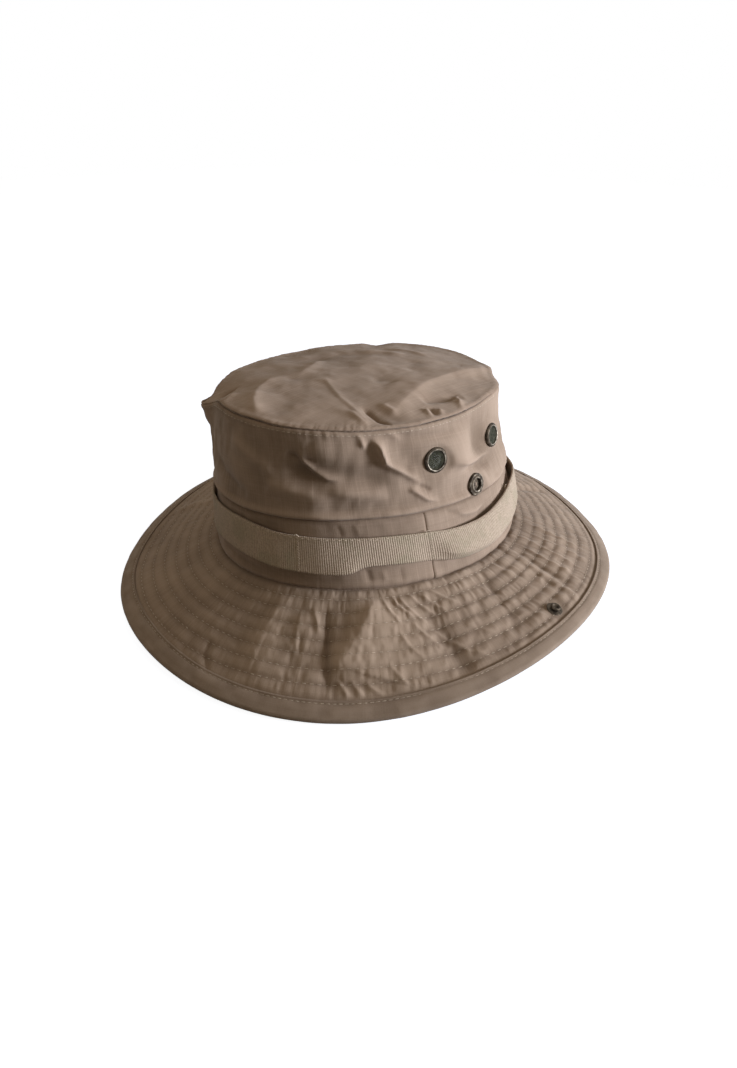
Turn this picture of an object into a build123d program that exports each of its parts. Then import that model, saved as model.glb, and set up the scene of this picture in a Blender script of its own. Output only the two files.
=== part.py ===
from build123d import *
import os
from math import atan2, cos, degrees, pi, radians, sin

os.makedirs("parts", exist_ok=True)

# Boonie hat standing on a table, in millimetres and degrees.
# +Z is up, -Y is the front and +X is the wearer's left.
# A turn runs round the hat: 0 at the front, 90 at the wearer's left, 180 at the back.

# Crown: base seam where the brim joins it, and top seam
head_half_width = 88.0
head_half_length = 102.0
base_height = 30.1
base_front_rise = 2.0
base_left_rise = 1.0
base_twist = 2.8
top_half_width = 67.3
top_half_length = 88.7
top_shift_back = -8.2
top_shift_left = -0.8
top_height = 117.3
top_front_rise = 4.2
top_left_rise = -0.8
top_saddle = 1.1
top_dome = 5.0

# Brim edge: how far out it reaches and how its edge lifts off the table
brim_reach_side = 61.4
brim_reach_end = 59.0
edge_rest = 3.2
left_lift, left_lift_turn, left_lift_spread = 13.4, 93.0, 60.0
front_lift, front_lift_turn, front_lift_spread = 4.0, 348.0, 40.0
right_lift, right_lift_turn, right_lift_spread = 2.4, 270.0, 50.0

# Cloth thicknesses and seams
wall_thick = 0.9
tape_thick = 0.6
cover_thick = 0.6
core_thick = 1.0
binding_thick = 0.7
binding_width = 9.2
band_seam = 39.8
band_join = 68.0
sweatband_height = 32.0
sweatband_thick = 1.0
seam_tape_width = 9.0
webbing_low = 9.5
webbing_width = 20.0
webbing_thick = 1.4
tack_count = 8
tack_first = 24.0
tack_width = 2.2
tack_raise = 0.3

# Clearances
seam_gap = 0.1
skin_gap = 0.08
hinge_gap = 0.3
edge_gap = 0.15
webbing_gap = 0.15
inside_gap = 0.15
flat_gap = 0.25
inner_gap, inner_slope = 0.25, 0.72

# Brim fold: each side turns up about a straight crease beside the crown
crease_beside = 2.8
crease_out = head_half_width + crease_beside
crease_raise = 1.0
snap_out = 49.0

# Snaps and vents
stud_flange, stud_post = 9.0, 5.5
stud_flange_thick, stud_height = 0.6, 2.8
shank_diameter = 3.0
cap_diameter, cap_thick = 9.0, 0.8
socket_diameter, socket_bore, socket_thick, socket_floor = 12.6, 6.8, 2.2, 0.5
vent_climb, vent_spread = 66.5, 28.0
vent_diameter, vent_tube, vent_bore = 13.4, 11.2, 10.0
vent_flange_thick, washer_thick, screen_thick = 0.9, 0.6, 0.4
vent_roll = 0.4
stud_roll = 0.2

# How far the tools that cut holes and outlines reach
hole_reach = 5.0
outline_reach = 30.0

brim_thick = 2 * cover_thick + core_thick
step = 15.0


def lift(turn, height, centre, spread):
    away = abs((turn - centre + 180) % 360 - 180)
    return height * cos(radians(90 * away / spread)) ** 2 if away < spread else 0.0


def base_point(turn):
    a = radians(turn)
    z = base_height + base_front_rise * cos(a) + base_left_rise * sin(a) + base_twist * sin(2 * a)
    return Vector(head_half_width * sin(a), -head_half_length * cos(a), z)


def top_level(across, along, dome=0.0):
    # across and along run from -1 to 1 over the top panel
    slope = top_front_rise * along + top_left_rise * across
    return top_height + slope + top_saddle * (along**2 - across**2) + dome * (1 - across**2 - along**2)


def top_point(turn):
    across, along = sin(radians(turn)), cos(radians(turn))
    x = top_shift_left + top_half_width * across
    y = top_shift_back - top_half_length * along
    return Vector(x, y, top_level(across, along))


def edge_point(turn):
    a = radians(turn)
    z = edge_rest + lift(turn, left_lift, left_lift_turn, left_lift_spread)
    z += lift(turn, front_lift, front_lift_turn, front_lift_spread)
    z += lift(turn, right_lift, right_lift_turn, right_lift_spread)
    x = (head_half_width + brim_reach_side) * sin(a)
    return Vector(x, -(head_half_length + brim_reach_end) * cos(a), z)


def on_cloth(low, high, turn, distance, offset, side):
    # a point so far up the cloth from its lower curve, and so far off its show face
    def spot(at):
        return low(at) + (high(at) - low(at)).normalized() * distance

    along = (high(turn) - low(turn)).normalized()
    normal = (spot(turn + 0.5) - spot(turn - 0.5)).cross(along).normalized() * side
    return spot(turn) + normal * offset


def wall_point(turn, climb, out=0.0):
    return on_cloth(base_point, top_point, turn, climb, out, 1)


def brim_point(turn, out, up=0.0):
    return on_cloth(base_point, edge_point, turn, out, up, -1)


def wall_length(turn):
    return (top_point(turn) - base_point(turn)).length


def brim_length(turn):
    return (edge_point(turn) - base_point(turn)).length


def wall(climb, out):
    return lambda turn: wall_point(turn, climb, out)


def under_top(drop, out):
    return lambda turn: wall_point(turn, wall_length(turn) - drop, out)


def brim(out, up):
    return lambda turn: brim_point(turn, out, up)


def from_edge(inset, up):
    return lambda turn: brim_point(turn, brim_length(turn) - inset, up)


def strip(section, start, stop):
    # a curved strip of cloth whose four long edges pass through the section's corners,
    # with its points closer together towards its ends
    count = max(4, round((stop - start) / step))
    middle, half = (start + stop) / 2, (stop - start) / 2
    turns = [middle - half * cos(pi * i / count) for i in range(count + 1)]
    rails = [Spline(*[corner(turn) for turn in turns]) for corner in section]
    faces = [Face.make_surface_from_curves(rails[i - 1], rails[i]) for i in range(4)]
    for turn in (start, stop):
        a, b, c, d = [corner(turn) for corner in section]
        faces.append(Face.make_surface_from_curves(Edge.make_line(a, b), Edge.make_line(d, c)))
    return Solid(Shell(faces))


def disc(place, diameter, low, high, bore=0.0, roll=0.0):
    outline = Circle(diameter / 2)
    if bore:
        outline -= Circle(bore / 2)
    plate = extrude(outline, high - low)
    if roll:
        plate = fillet(plate.edges().filter_by(GeomType.CIRCLE).group_by(Axis.Z)[-1], roll)
    return place * Pos(0, 0, low) * plate


def keep(name, shape):
    shape.label = name
    export_step(shape, f"parts/{name}.step")


# Where things sit on the crown and the brim

def wall_place(side, y, climb):
    # the wall's own plane at a given distance along the hat, found by halving
    near, far = 0.0, 180.0
    while far - near > 0.001:
        middle = (near + far) / 2
        if wall_point(side * middle, climb).Y < y:
            near = middle
        else:
            far = middle
    turn = side * (near + far) / 2
    spot = wall_point(turn, climb)
    return Plane(spot, x_dir=(0, 1, 0), z_dir=wall_point(turn, climb, 1) - spot)


def crease(side):
    # wall angle, brim angle and crease height in the upright section through y = 0
    turn = 90 * side
    base, edge, top = base_point(turn), edge_point(turn), top_point(turn)
    wall_angle = atan2(top.Z - base.Z, side * (top.X - base.X))
    brim_angle = atan2(edge.Z - base.Z, side * (edge.X - base.X))
    drop = (crease_out - head_half_width) * (edge.Z - base.Z) / brim_reach_side
    return wall_angle, brim_angle, base.Z + drop + crease_raise


def snap_places(side):
    # the stud's plane on the brim, and the plane on the wall that it turns up to meet
    wall_angle, brim_angle, height = crease(side)
    base_z = base_point(90 * side).Z
    x = head_half_width + snap_out * cos(brim_angle)
    z = base_z + snap_out * sin(brim_angle)
    stud = Plane((side * x, 0, z), x_dir=(0, 1, 0), z_dir=(-side * sin(brim_angle), 0, cos(brim_angle)))
    swing = wall_angle - brim_angle
    up_x = crease_out + (x - crease_out) * cos(swing) - (z - height) * sin(swing) - head_half_width
    up_z = height + (x - crease_out) * sin(swing) + (z - height) * cos(swing) - base_z
    climb = up_x * cos(wall_angle) + up_z * sin(wall_angle)
    return stud, wall_place(side, 0, climb)


sides = {"left": 1, "right": -1}
studs, sockets = {}, {}
for side_name, side in sides.items():
    studs[side_name], sockets[side_name] = snap_places(side)
vents = {}
for side_name, side in sides.items():
    for end_name, end in (("front", -1), ("back", 1)):
        vents[f"{side_name}_{end_name}"] = wall_place(side, end * vent_spread, vent_climb)


# Crown top panel: a shallow dome cut to the top seam
reach = 1.1
grid_count = 6
grid = []
for i in range(grid_count + 1):
    across = reach * (2 * i / grid_count - 1)
    row = []
    for j in range(grid_count + 1):
        along = reach * (2 * j / grid_count - 1)
        x = top_shift_left + top_half_width * across
        y = top_shift_back - top_half_length * along
        row.append(Vector(x, y, top_level(across, along, top_dome) + seam_gap))
    grid.append(row)
dome = Solid.thicken(Face.make_surface_from_array_of_points(grid), wall_thick, Vector(0, 0, 1))
outline = Ellipse(top_half_width, top_half_length)
outline = Pos(top_shift_left, top_shift_back, top_height - outline_reach) * outline
keep("crown_top", (dome & extrude(outline, 2 * outline_reach)).solids()[0])

# Crown side wall, open at its back seam, and the lower wall in two pieces
openings = []
for place in vents.values():
    openings.append(disc(place, vent_tube + 2 * seam_gap, -hole_reach, hole_reach))
for place in sockets.values():
    openings.append(disc(place, shank_diameter + 2 * seam_gap, -hole_reach, hole_reach))
end_gap = degrees(seam_gap / head_half_length)
whole_start, whole_stop = end_gap - 180, 180 - end_gap
seam_low, seam_high = band_seam - seam_gap / 2, band_seam + seam_gap / 2
upper = [wall(seam_high, 0), under_top(0, 0), under_top(0, -wall_thick), wall(seam_high, -wall_thick)]
keep("crown_side", (strip(upper, whole_start, whole_stop) - openings).solids()[0])
foot = -brim_thick
lower = [wall(foot, 0), wall(seam_low, 0), wall(seam_low, -wall_thick), wall(foot, -wall_thick)]
keep("crown_lower_back", strip(lower, band_join + end_gap, band_join + 180 - end_gap))
keep("crown_lower_front", strip(lower, band_join - 180 + end_gap, band_join - end_gap))

# Tapes over the seams and the sweatband, all inside the crown
inside = -(wall_thick + inside_gap)
tape_back = inside - tape_thick
high = 0.5
tape = [under_top(seam_tape_width, inside), under_top(high, inside)]
tape += [under_top(high, tape_back), under_top(seam_tape_width, tape_back)]
keep("top_seam_tape", strip(tape, whole_start, whole_stop))
high = seam_tape_width + 1
half_tape = degrees(seam_tape_width / 2 / head_half_length)
tape = [wall(band_seam, inside), under_top(high, inside)]
tape += [under_top(high, tape_back), wall(band_seam, tape_back)]
keep("back_seam_tape", strip(tape, 180 - half_tape, 180 + half_tape))
band_back = inside - sweatband_thick
band = [wall(0, inside), wall(sweatband_height, inside)]
band += [wall(sweatband_height, band_back), wall(0, band_back)]
keep("sweatband", strip(band, whole_start, whole_stop))


# Foliage webbing round the crown, stitched down at bar tacks
def webbing(margin, back, front, start, stop):
    low, high = webbing_low + margin, webbing_low + webbing_width - margin
    return strip([wall(low, front), wall(high, front), wall(high, back), wall(low, back)], start, stop)


webbing_front = webbing_gap + webbing_thick
keep("webbing_band", webbing(0, webbing_gap, webbing_front, whole_start, whole_stop))
tack_back = webbing_front + skin_gap
tack_front = tack_back + tack_raise
tack_half = degrees(tack_width / 2 / head_half_width)
tack_turns = [tack_first + 360 * i / tack_count for i in range(tack_count)]
tacks = [webbing(1, tack_back, tack_front, turn - tack_half, turn + tack_half) for turn in tack_turns]
keep("bar_tacks", Compound(children=tacks))

# Vents: an eyelet through the wall, a washer inside it and a screen in its bore
for name, place in vents.items():
    washer_top = -(wall_thick + flat_gap)
    tube_low = washer_top - washer_thick - vent_roll
    eyelet = disc(place, vent_diameter, skin_gap, skin_gap + vent_flange_thick, vent_bore, vent_roll)
    eyelet += disc(place, vent_tube, tube_low, skin_gap + vent_flange_thick / 2, vent_bore)
    keep(f"vent_{name}_eyelet", eyelet.solids()[0])
    washer = disc(place, vent_diameter, washer_top - washer_thick, washer_top, vent_tube + 2 * skin_gap)
    keep(f"vent_{name}_washer", washer.solids()[0])
    screen = disc(place, vent_bore - 2 * skin_gap, -screen_thick, 0)
    keep(f"vent_{name}_screen", screen.solids()[0])

# Snap sockets on the wall, each held by a post whose head is inside the crown
for side_name, place in sockets.items():
    socket = disc(place, socket_diameter, skin_gap, socket_thick, socket_bore, vent_roll)
    socket += disc(place, socket_bore + 1, skin_gap, socket_floor, shank_diameter + 2 * skin_gap)
    keep(f"{side_name}_snap_socket", socket.solids()[0])
    head_top = -(wall_thick + flat_gap)
    post = disc(place, cap_diameter, head_top - cap_thick, head_top)
    post += disc(place, shank_diameter, head_top - cap_thick / 2, socket_floor)
    keep(f"{side_name}_snap_post", post.solids()[0])


# Brim: cover, core and lining, in a front and a back piece and a flap each side
def inner_edge(depth):
    return brim(inner_gap + inner_slope * depth, -depth)


def layer_section(high, low):
    return [inner_edge(high), from_edge(edge_gap, -high), from_edge(edge_gap, -low), inner_edge(low)]


layers = {
    "cover": layer_section(0, cover_thick - skin_gap),
    "core": layer_section(cover_thick, cover_thick + core_thick - skin_gap),
    "lining": layer_section(cover_thick + core_thick, brim_thick),
}
near, far = skin_gap, skin_gap + binding_thick
folded_tape = [
    from_edge(binding_width, far),
    from_edge(-binding_thick, far),
    from_edge(-binding_thick, -brim_thick - far),
    from_edge(binding_width, -brim_thick - far),
]
tape_hollow = [
    from_edge(binding_width + 1, near),
    from_edge(0, near),
    from_edge(0, -brim_thick - near),
    from_edge(binding_width + 1, -brim_thick - near),
]
flap_half_turn = 60
zone = 400


def beyond_crease(side, gap):
    return Pos(side * (crease_out + gap + zone / 2), 0, 0) * Box(zone, zone, zone)


beyond_flap = {side: beyond_crease(side, hinge_gap) for side in (1, -1)}
beyond_root = {side: beyond_crease(side, -hinge_gap) for side in (1, -1)}
stud_holes = []
for place in studs.values():
    stud_holes.append(disc(place, shank_diameter + 2 * seam_gap, -hole_reach, hole_reach))


def binding(section, start, stop):
    return strip(section, start, stop) - strip(tape_hollow, start - 1, stop + 1)


def split(name, make, section):
    # a front and a back piece between the creases, and a flap beyond each
    for end_name, middle in (("front", 0), ("back", 180)):
        root = make(section, middle - 90 + end_gap, middle + 90 - end_gap)
        root -= list(beyond_root.values())
        keep(f"brim_{end_name}_{name}", root)
    for side_name, side in sides.items():
        flap = make(section, 90 * side - flap_half_turn, 90 * side + flap_half_turn)
        flap = (flap & beyond_flap[side]) - stud_holes
        keep(f"{side_name}_flap_{name}", flap)


for name, section in layers.items():
    split(name, strip, section)
split("binding", binding, folded_tape)

# Snap studs on the brim, each held by a cap under it
for side_name, place in studs.items():
    stud = disc(place, stud_flange, skin_gap, skin_gap + stud_flange_thick, 0, stud_roll)
    stud += disc(place, stud_post, skin_gap, stud_height, 0, vent_roll)
    keep(f"{side_name}_snap_stud", stud.solids()[0])
    cap_top = -brim_thick - flat_gap
    cap = disc(place, cap_diameter, cap_top - cap_thick, cap_top)
    cap += disc(place, shank_diameter, cap_top - cap_thick / 2, 0)
    keep(f"{side_name}_snap_cap", cap.solids()[0])
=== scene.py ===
import math

import bpy
import numpy as np
from mathutils import Matrix, Vector


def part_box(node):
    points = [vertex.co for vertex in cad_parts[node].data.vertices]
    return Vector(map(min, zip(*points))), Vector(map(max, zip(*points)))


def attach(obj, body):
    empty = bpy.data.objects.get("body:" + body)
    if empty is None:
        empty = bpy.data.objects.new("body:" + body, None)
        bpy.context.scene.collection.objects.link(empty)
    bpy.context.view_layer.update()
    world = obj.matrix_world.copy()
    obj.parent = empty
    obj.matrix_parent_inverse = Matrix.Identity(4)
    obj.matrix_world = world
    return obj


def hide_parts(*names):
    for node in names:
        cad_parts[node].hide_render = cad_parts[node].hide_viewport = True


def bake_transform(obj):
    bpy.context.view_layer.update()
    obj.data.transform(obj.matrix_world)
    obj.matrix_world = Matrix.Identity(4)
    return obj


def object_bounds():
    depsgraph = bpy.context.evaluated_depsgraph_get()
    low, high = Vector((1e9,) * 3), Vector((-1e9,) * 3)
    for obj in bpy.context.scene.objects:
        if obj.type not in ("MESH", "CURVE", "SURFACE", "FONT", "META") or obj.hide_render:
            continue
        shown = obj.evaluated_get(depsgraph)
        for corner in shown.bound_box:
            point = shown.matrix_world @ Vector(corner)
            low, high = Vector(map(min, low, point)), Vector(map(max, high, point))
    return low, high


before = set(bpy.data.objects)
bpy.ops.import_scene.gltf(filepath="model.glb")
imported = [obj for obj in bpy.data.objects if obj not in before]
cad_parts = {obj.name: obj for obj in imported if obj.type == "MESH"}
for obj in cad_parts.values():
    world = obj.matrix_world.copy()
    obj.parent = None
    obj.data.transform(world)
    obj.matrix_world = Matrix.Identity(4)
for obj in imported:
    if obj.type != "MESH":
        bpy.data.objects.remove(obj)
cadBox = [list(corner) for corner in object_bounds()]
scene = bpy.context.scene
mm = 0.001  # shapes are worked out in millimetres and set in metres
print("frame loaded")

# The hat's own form: base seam, top seam and brim edge, in millimetres and degrees.
# A turn runs round the hat, 0 at the front and 90 at the wearer's left.
hatForm = {
    "headHalf": (88.0, 102.0), "baseHeight": 30.1, "baseRise": (2.0, 1.0, 2.8),
    "topHalf": (67.3, 88.7), "topShift": (-0.8, -8.2), "topHeight": 117.3, "topRise": (4.2, -0.8),
    "topSaddle": 1.1, "topDome": 5.0, "edgeHalf": (149.4, 161.0), "edgeRest": 3.2,
    "edgeLifts": [(13.4, 93, 60), (4.0, 348, 40), (2.4, 270, 50)],
    "clothThick": 0.9, "brimThick": 2.2, "bandSeam": 39.8, "bandJoin": 68.0,
    "degreeOfWall": 1.6, "degreeOfBrim": 2.2,  # millimetres to a degree, half way along the cloth
    "rimSpan": 78.0,  # from the middle of the top to its rim, on average
}


def baseCurve(turn):
    s, c = np.sin(np.radians(turn)), np.cos(np.radians(turn))
    rise = hatForm["baseRise"]
    z = hatForm["baseHeight"] + rise[0] * c + rise[1] * s + rise[2] * 2 * s * c
    return np.stack([hatForm["headHalf"][0] * s, -hatForm["headHalf"][1] * c, z], -1)


def topLevel(across, along, dome=0.0):
    z = hatForm["topHeight"] + hatForm["topRise"][0] * along + hatForm["topRise"][1] * across
    return z + hatForm["topSaddle"] * (along**2 - across**2) + dome * (1 - across**2 - along**2)


def topCurve(turn):
    s, c = np.sin(np.radians(turn)), np.cos(np.radians(turn))
    x = hatForm["topShift"][0] + hatForm["topHalf"][0] * s
    y = hatForm["topShift"][1] - hatForm["topHalf"][1] * c
    return np.stack([x, y, topLevel(s, c)], -1)


def edgeCurve(turn):
    a = np.radians(turn)
    z = np.full(np.shape(a), hatForm["edgeRest"])
    for height, centre, spread in hatForm["edgeLifts"]:
        away = np.minimum(np.abs(turnFrom(turn, centre)) / spread, 1)
        z = z + height * np.cos(math.pi / 2 * away) ** 2
    return np.stack([hatForm["edgeHalf"][0] * np.sin(a), -hatForm["edgeHalf"][1] * np.cos(a), z], -1)


def turnFrom(turn, centre=0.0):
    # how far round from a centre, from -180 to 180
    return (turn - centre + 180) % 360 - 180


def unit(vectors):
    return vectors / np.linalg.norm(vectors, axis=-1, keepdims=True)


def onCloth(low, high, turn, distance, side):
    # the point so far up the cloth from its lower curve, and the cloth's outward direction there
    turn, distance = np.broadcast_arrays(np.asarray(turn, float), np.asarray(distance, float))

    def spot(at):
        return low(at) + unit(high(at) - low(at)) * distance[..., None]

    along = unit(high(turn) - low(turn))
    return spot(turn), unit(np.cross(spot(turn + 0.5) - spot(turn - 0.5), along)) * side


def wallPoint(turn, climb, out=0.0):
    spot, outward = onCloth(baseCurve, topCurve, turn, climb, 1)
    return spot + outward * np.asarray(out, float)[..., None]


def brimPoint(turn, reach, up=0.0):
    spot, upward = onCloth(baseCurve, edgeCurve, turn, reach, -1)
    return spot + upward * np.asarray(up, float)[..., None]


def wallLength(turn):
    return np.linalg.norm(topCurve(turn) - baseCurve(turn), axis=-1)


def brimLength(turn):
    return np.linalg.norm(edgeCurve(turn) - baseCurve(turn), axis=-1)


def smooth(value, low, high):
    t = np.clip((value - low) / (high - low), 0, 1)
    return t * t * (3 - 2 * t)


def hump(value, centre, width):
    return np.exp(-(((value - centre) / width) ** 2))


def clothNoise(x, y, seed, wrap=0):
    # smooth random heights of about -1 to 1, one bump to a unit, and the same at each run
    grid = np.random.default_rng(seed).uniform(-1, 1, (512, 512))
    ix, iy = np.floor(x).astype(int), np.floor(y).astype(int)
    fx, fy = x - ix, y - iy
    fx, fy = fx**3 * (fx * (6 * fx - 15) + 10), fy**3 * (fy * (6 * fy - 15) + 10)
    left, right = (ix % wrap, (ix + 1) % wrap) if wrap else (ix % 512, (ix + 1) % 512)
    low, high = iy % 512, (iy + 1) % 512
    bottom = grid[left, low] * (1 - fx) + grid[right, low] * fx
    top = grid[left, high] * (1 - fx) + grid[right, high] * fx
    return bottom * (1 - fy) + top * fy


def pressedFolds(x, y, folds, scale):
    # ridges and valleys along drawn lines: points, height, width to the left and to the right, sharpness
    total = np.zeros(np.shape(x))
    for points, height, wideLeft, wideRight, sharp in folds:
        line = np.array(points, float) * scale
        nearest, where, side = np.full(np.shape(x), 1e9), np.zeros(np.shape(x)), np.zeros(np.shape(x))
        for i in range(len(line) - 1):
            run = line[i + 1] - line[i]
            dx, dy = x - line[i, 0], y - line[i, 1]
            t = np.clip((dx * run[0] + dy * run[1]) / (run @ run), 0, 1)
            far = np.hypot(dx - t * run[0], dy - t * run[1])
            closer = far < nearest
            nearest = np.where(closer, far, nearest)
            where = np.where(closer, (i + t) / (len(line) - 1), where)
            side = np.where(closer, run[0] * dy - run[1] * dx, side)
        wide = np.where(side > 0, wideLeft, wideRight)
        ends = smooth(where, 0, 0.3) * smooth(1 - where, 0, 0.3)
        total += height * ends * np.exp(-((nearest / wide) ** sharp))
    return total


def foldsRound(turn, distance, folds, degree, shifts=(-360, 0, 360)):
    # folds on a cloth that closes on itself, where degree is the millimetres to one degree
    return sum(pressedFolds((turn + shift) * degree, distance, folds, (degree, 1)) for shift in shifts)


# Where the metal fittings stand
fittings = {
    "snapOut": 49.0, "ventClimb": 66.5, "ventSpread": 28.0,
}


def boxMiddle(node):
    low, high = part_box(node)
    return (low + high) / 2 / mm


def halving(low, high, below):
    # closes in on the place where below stops being true
    for _ in range(40):
        middle = (low + high) / 2
        low, high = (middle, high) if below(middle) else (low, middle)
    return low, high


def wallTurn(side, y, climb):
    near, far = halving(0.0, 180.0, lambda turn: wallPoint(side * turn, climb)[1] < y)
    return side * (near + far) / 2


def socketPlace(side):
    # the climb on the wall whose height is the CAD socket's
    name = ("left" if side > 0 else "right") + "_snap_socket"
    height = boxMiddle(name)[2]
    low = halving(30.0, 60.0, lambda climb: wallPoint(wallTurn(side, 0, climb), climb, 1.1)[2] < height)[0]
    return wallTurn(side, 0, low), low


sockets = {side: socketPlace(side) for side in (1, -1)}
vents = {}
for side, sideName in ((1, "left"), (-1, "right")):
    for end, endName in ((-1, "front"), (1, "back")):
        turn = wallTurn(side, end * fittings["ventSpread"], fittings["ventClimb"])
        vents[f"vent_{sideName}_{endName}"] = (turn, fittings["ventClimb"])
wallFittings = list(sockets.values()) + list(vents.values())

# Relief of the crown's side wall
wallFolds = {
    "lines": [
        ([(26, 75), (28.6, 71.7), (32.5, 65.5), (36.6, 62.3), (44, 60.5)], 1.5, 2.6, 1.3, 1.4),
        ([(22, 74), (27, 72.5), (34, 71)], -0.7, 1.6, 1.6, 1.5),
        ([(53, 84), (55.6, 78), (56.9, 69.4), (63.5, 62.9), (70.9, 53.7)], 2.3, 3.4, 1.8, 1.5),
        ([(57, 71), (62, 66), (68, 61)], -1.1, 2.5, 2.5, 1.8),
        ([(67, 55.5), (70.9, 52.2), (72.5, 50.5)], -0.7, 1.2, 1.5, 1.3),
        ([(64, 54), (66, 52.3), (70.1, 46.6), (76, 43.4)], 0.9, 1.8, 1.3, 1.3),
        ([(20, 67), (41.3, 63.5), (61.6, 58)], -1.9, 7.0, 6.0, 2.0),
        ([(36, 55), (48, 54), (58, 52.5)], 0.8, 4.0, 4.0, 2.0),
        ([(8, 58), (24, 55.5), (40, 50)], 0.7, 3.5, 5.0, 1.8),
        ([(48, 87), (50, 82), (51, 76)], 0.8, 1.4, 1.4, 1.6),
        ([(60, 88), (66, 82), (78, 80), (92, 80)], -0.8, 3.0, 3.5, 1.8),
        ([(58, 88), (60, 84), (65, 80)], 0.7, 1.6, 1.6, 1.6),
        ([(80, 63), (88, 60.5), (100, 60), (110, 58)], 1.7, 3.4, 1.8, 1.3),
        ([(84, 60), (92, 57), (100, 54), (106, 52)], -0.8, 2.2, 3.0, 1.6),
        ([(-6, 80), (6, 72), (20, 60)], 0.7, 4.0, 5.0, 1.8),
        ([(-24, 62), (-10, 54), (6, 48)], -0.8, 4.0, 5.0, 1.8),
        ([(-34, 78), (-30, 66), (-28, 56)], -1.2, 4.0, 5.0, 1.8),
        ([(140, 80), (158, 66), (172, 50)], 1.2, 4.0, 3.0, 1.6),
        ([(196, 84), (204, 70), (222, 60)], 1.4, 2.4, 4.0, 1.5),
        ([(238, 76), (252, 62), (262, 48)], -1.2, 4.0, 4.0, 1.7),
        ([(292, 82), (300, 68), (312, 58)], 1.3, 2.2, 3.6, 1.5),
    ],
    # slow bulges: height, turn, its spread, climb, its spread
    "bulges": [
        (-2.9, 102, 7.0, 67, 12), (2.6, 87, 6.5, 68, 9), (-2.4, 67.5, 6, 65, 9),
        (0.9, 99, 5, 45.5, 7), (-0.9, 84, 5, 45.5, 7),
    ],
    "buckle": 0.9, "wrinkle": 0.26, "seamPucker": 0.34, "bandPuff": 1.6, "corner": 7.0, "cornerTurn": -32.0,
    "skin": 0.25,  # how far the cloth's face stands off its relief
}


def fittingCalm(turn, climb, wide):
    # 0 at each fitting, where the cloth is clamped flat, and 1 away from them
    calm = np.ones(np.shape(turn))
    for at, up in wallFittings:
        away = np.hypot(turnFrom(turn, at) * hatForm["degreeOfWall"], climb - up)
        calm = calm * smooth(away, 6.0, 6.0 + wide)
    return calm


def cornerAt(turn, shift, wide):
    # the pinched corner where the top seam sags at the front right
    return hump(turnFrom(turn, wallFolds["cornerTurn"]), shift, wide)


def topDrop(turn):
    return 7.0 * cornerAt(turn, 0, 8.5) + 1.4 * cornerAt(turn, -14, 12)


def aboutTurn(turn, centre, wide):
    return hump(turnFrom(turn, centre), 0, wide)


def wallForm(turn, climb):
    # slow bulges and hollows that tip the vents with the cloth
    fromTop = wallLength(turn) - topDrop(turn) - climb
    form = wallFolds["corner"] * cornerAt(turn, 0, 5.0) * np.exp(-fromTop / 13.0)
    form = form + 3.0 * cornerAt(turn, -14, 14) * hump(fromTop, 14, 15)
    form = form + 4.0 * aboutTurn(turn, 124, 9) * hump(fromTop, 4, 20)
    for height, centre, spread, level, tall in wallFolds["bulges"]:
        form = form + height * aboutTurn(turn, centre, spread) * hump(climb, level, tall)
    return form


def wallFormPoint(turn, climb):
    return wallPoint(turn, climb, wallForm(turn, climb))


def wallFormNormal(turn, climb):
    around = wallFormPoint(turn + 2.5, climb) - wallFormPoint(turn - 2.5, climb)
    return unit(np.cross(around, wallFormPoint(turn, climb + 4) - wallFormPoint(turn, climb - 4)))


def wallRelief(turn, climb):
    turn, climb = np.broadcast_arrays(np.asarray(turn, float), np.asarray(climb, float))
    w = wallFolds
    fromTop, above = wallLength(turn) - topDrop(turn) - climb, climb - hatForm["bandSeam"]
    lines = foldsRound(turn, climb, w["lines"], hatForm["degreeOfWall"])
    share = turn / 360
    soft = w["buckle"] * clothNoise(share * 17, climb / 34 + 3, 11, 17)
    soft += 0.45 * clothNoise(share * 39 + climb / 60, climb / 15, 12, 39)
    fine = w["wrinkle"] * clothNoise(share * 120 - climb / 14, climb / 8, 13, 120)
    middle = smooth(fromTop, 0, 9) * smooth(above, 0, 6)
    relief = (2.1 * lines + 1.5 * soft) * (0.25 + 0.75 * middle) + fine * (0.4 + 0.6 * middle)
    pucker = 0.6 + 0.5 * clothNoise(share * 20, 0 * climb, 15, 20)
    pucker = pucker * np.abs(clothNoise(share * 300, fromTop / 26, 14, 300))
    relief += w["seamPucker"] * 1.8 * pucker * np.exp(-fromTop / 3.2) * (1 + 0.8 * aboutTurn(turn, 52, 14))
    relief += 0.3 * hump(fromTop, 2.0, 1.4) - 1.0 * np.exp(-((fromTop / 0.55) ** 2))
    relief += 1.5 * aboutTurn(turn, 146, 9) * np.exp(-fromTop / 5.0)
    relief -= 1.2 * aboutTurn(turn, -137, 5) * np.exp(-fromTop / 6.0)
    puff = w["bandPuff"] * (0.75 + 0.45 * clothNoise(share * 30, 0 * climb, 16, 30))
    relief += puff * hump(above, 2.0, 2.0) - 1.2 * np.exp(-((above / 0.7) ** 2))
    relief += 0.22 * np.abs(clothNoise(share * 220, above / 20, 17, 220)) * np.exp(-np.abs(above) / 4.0)
    return wallForm(turn, climb) + relief * (0.08 + 0.92 * fittingCalm(turn, climb, 4.5))


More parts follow.
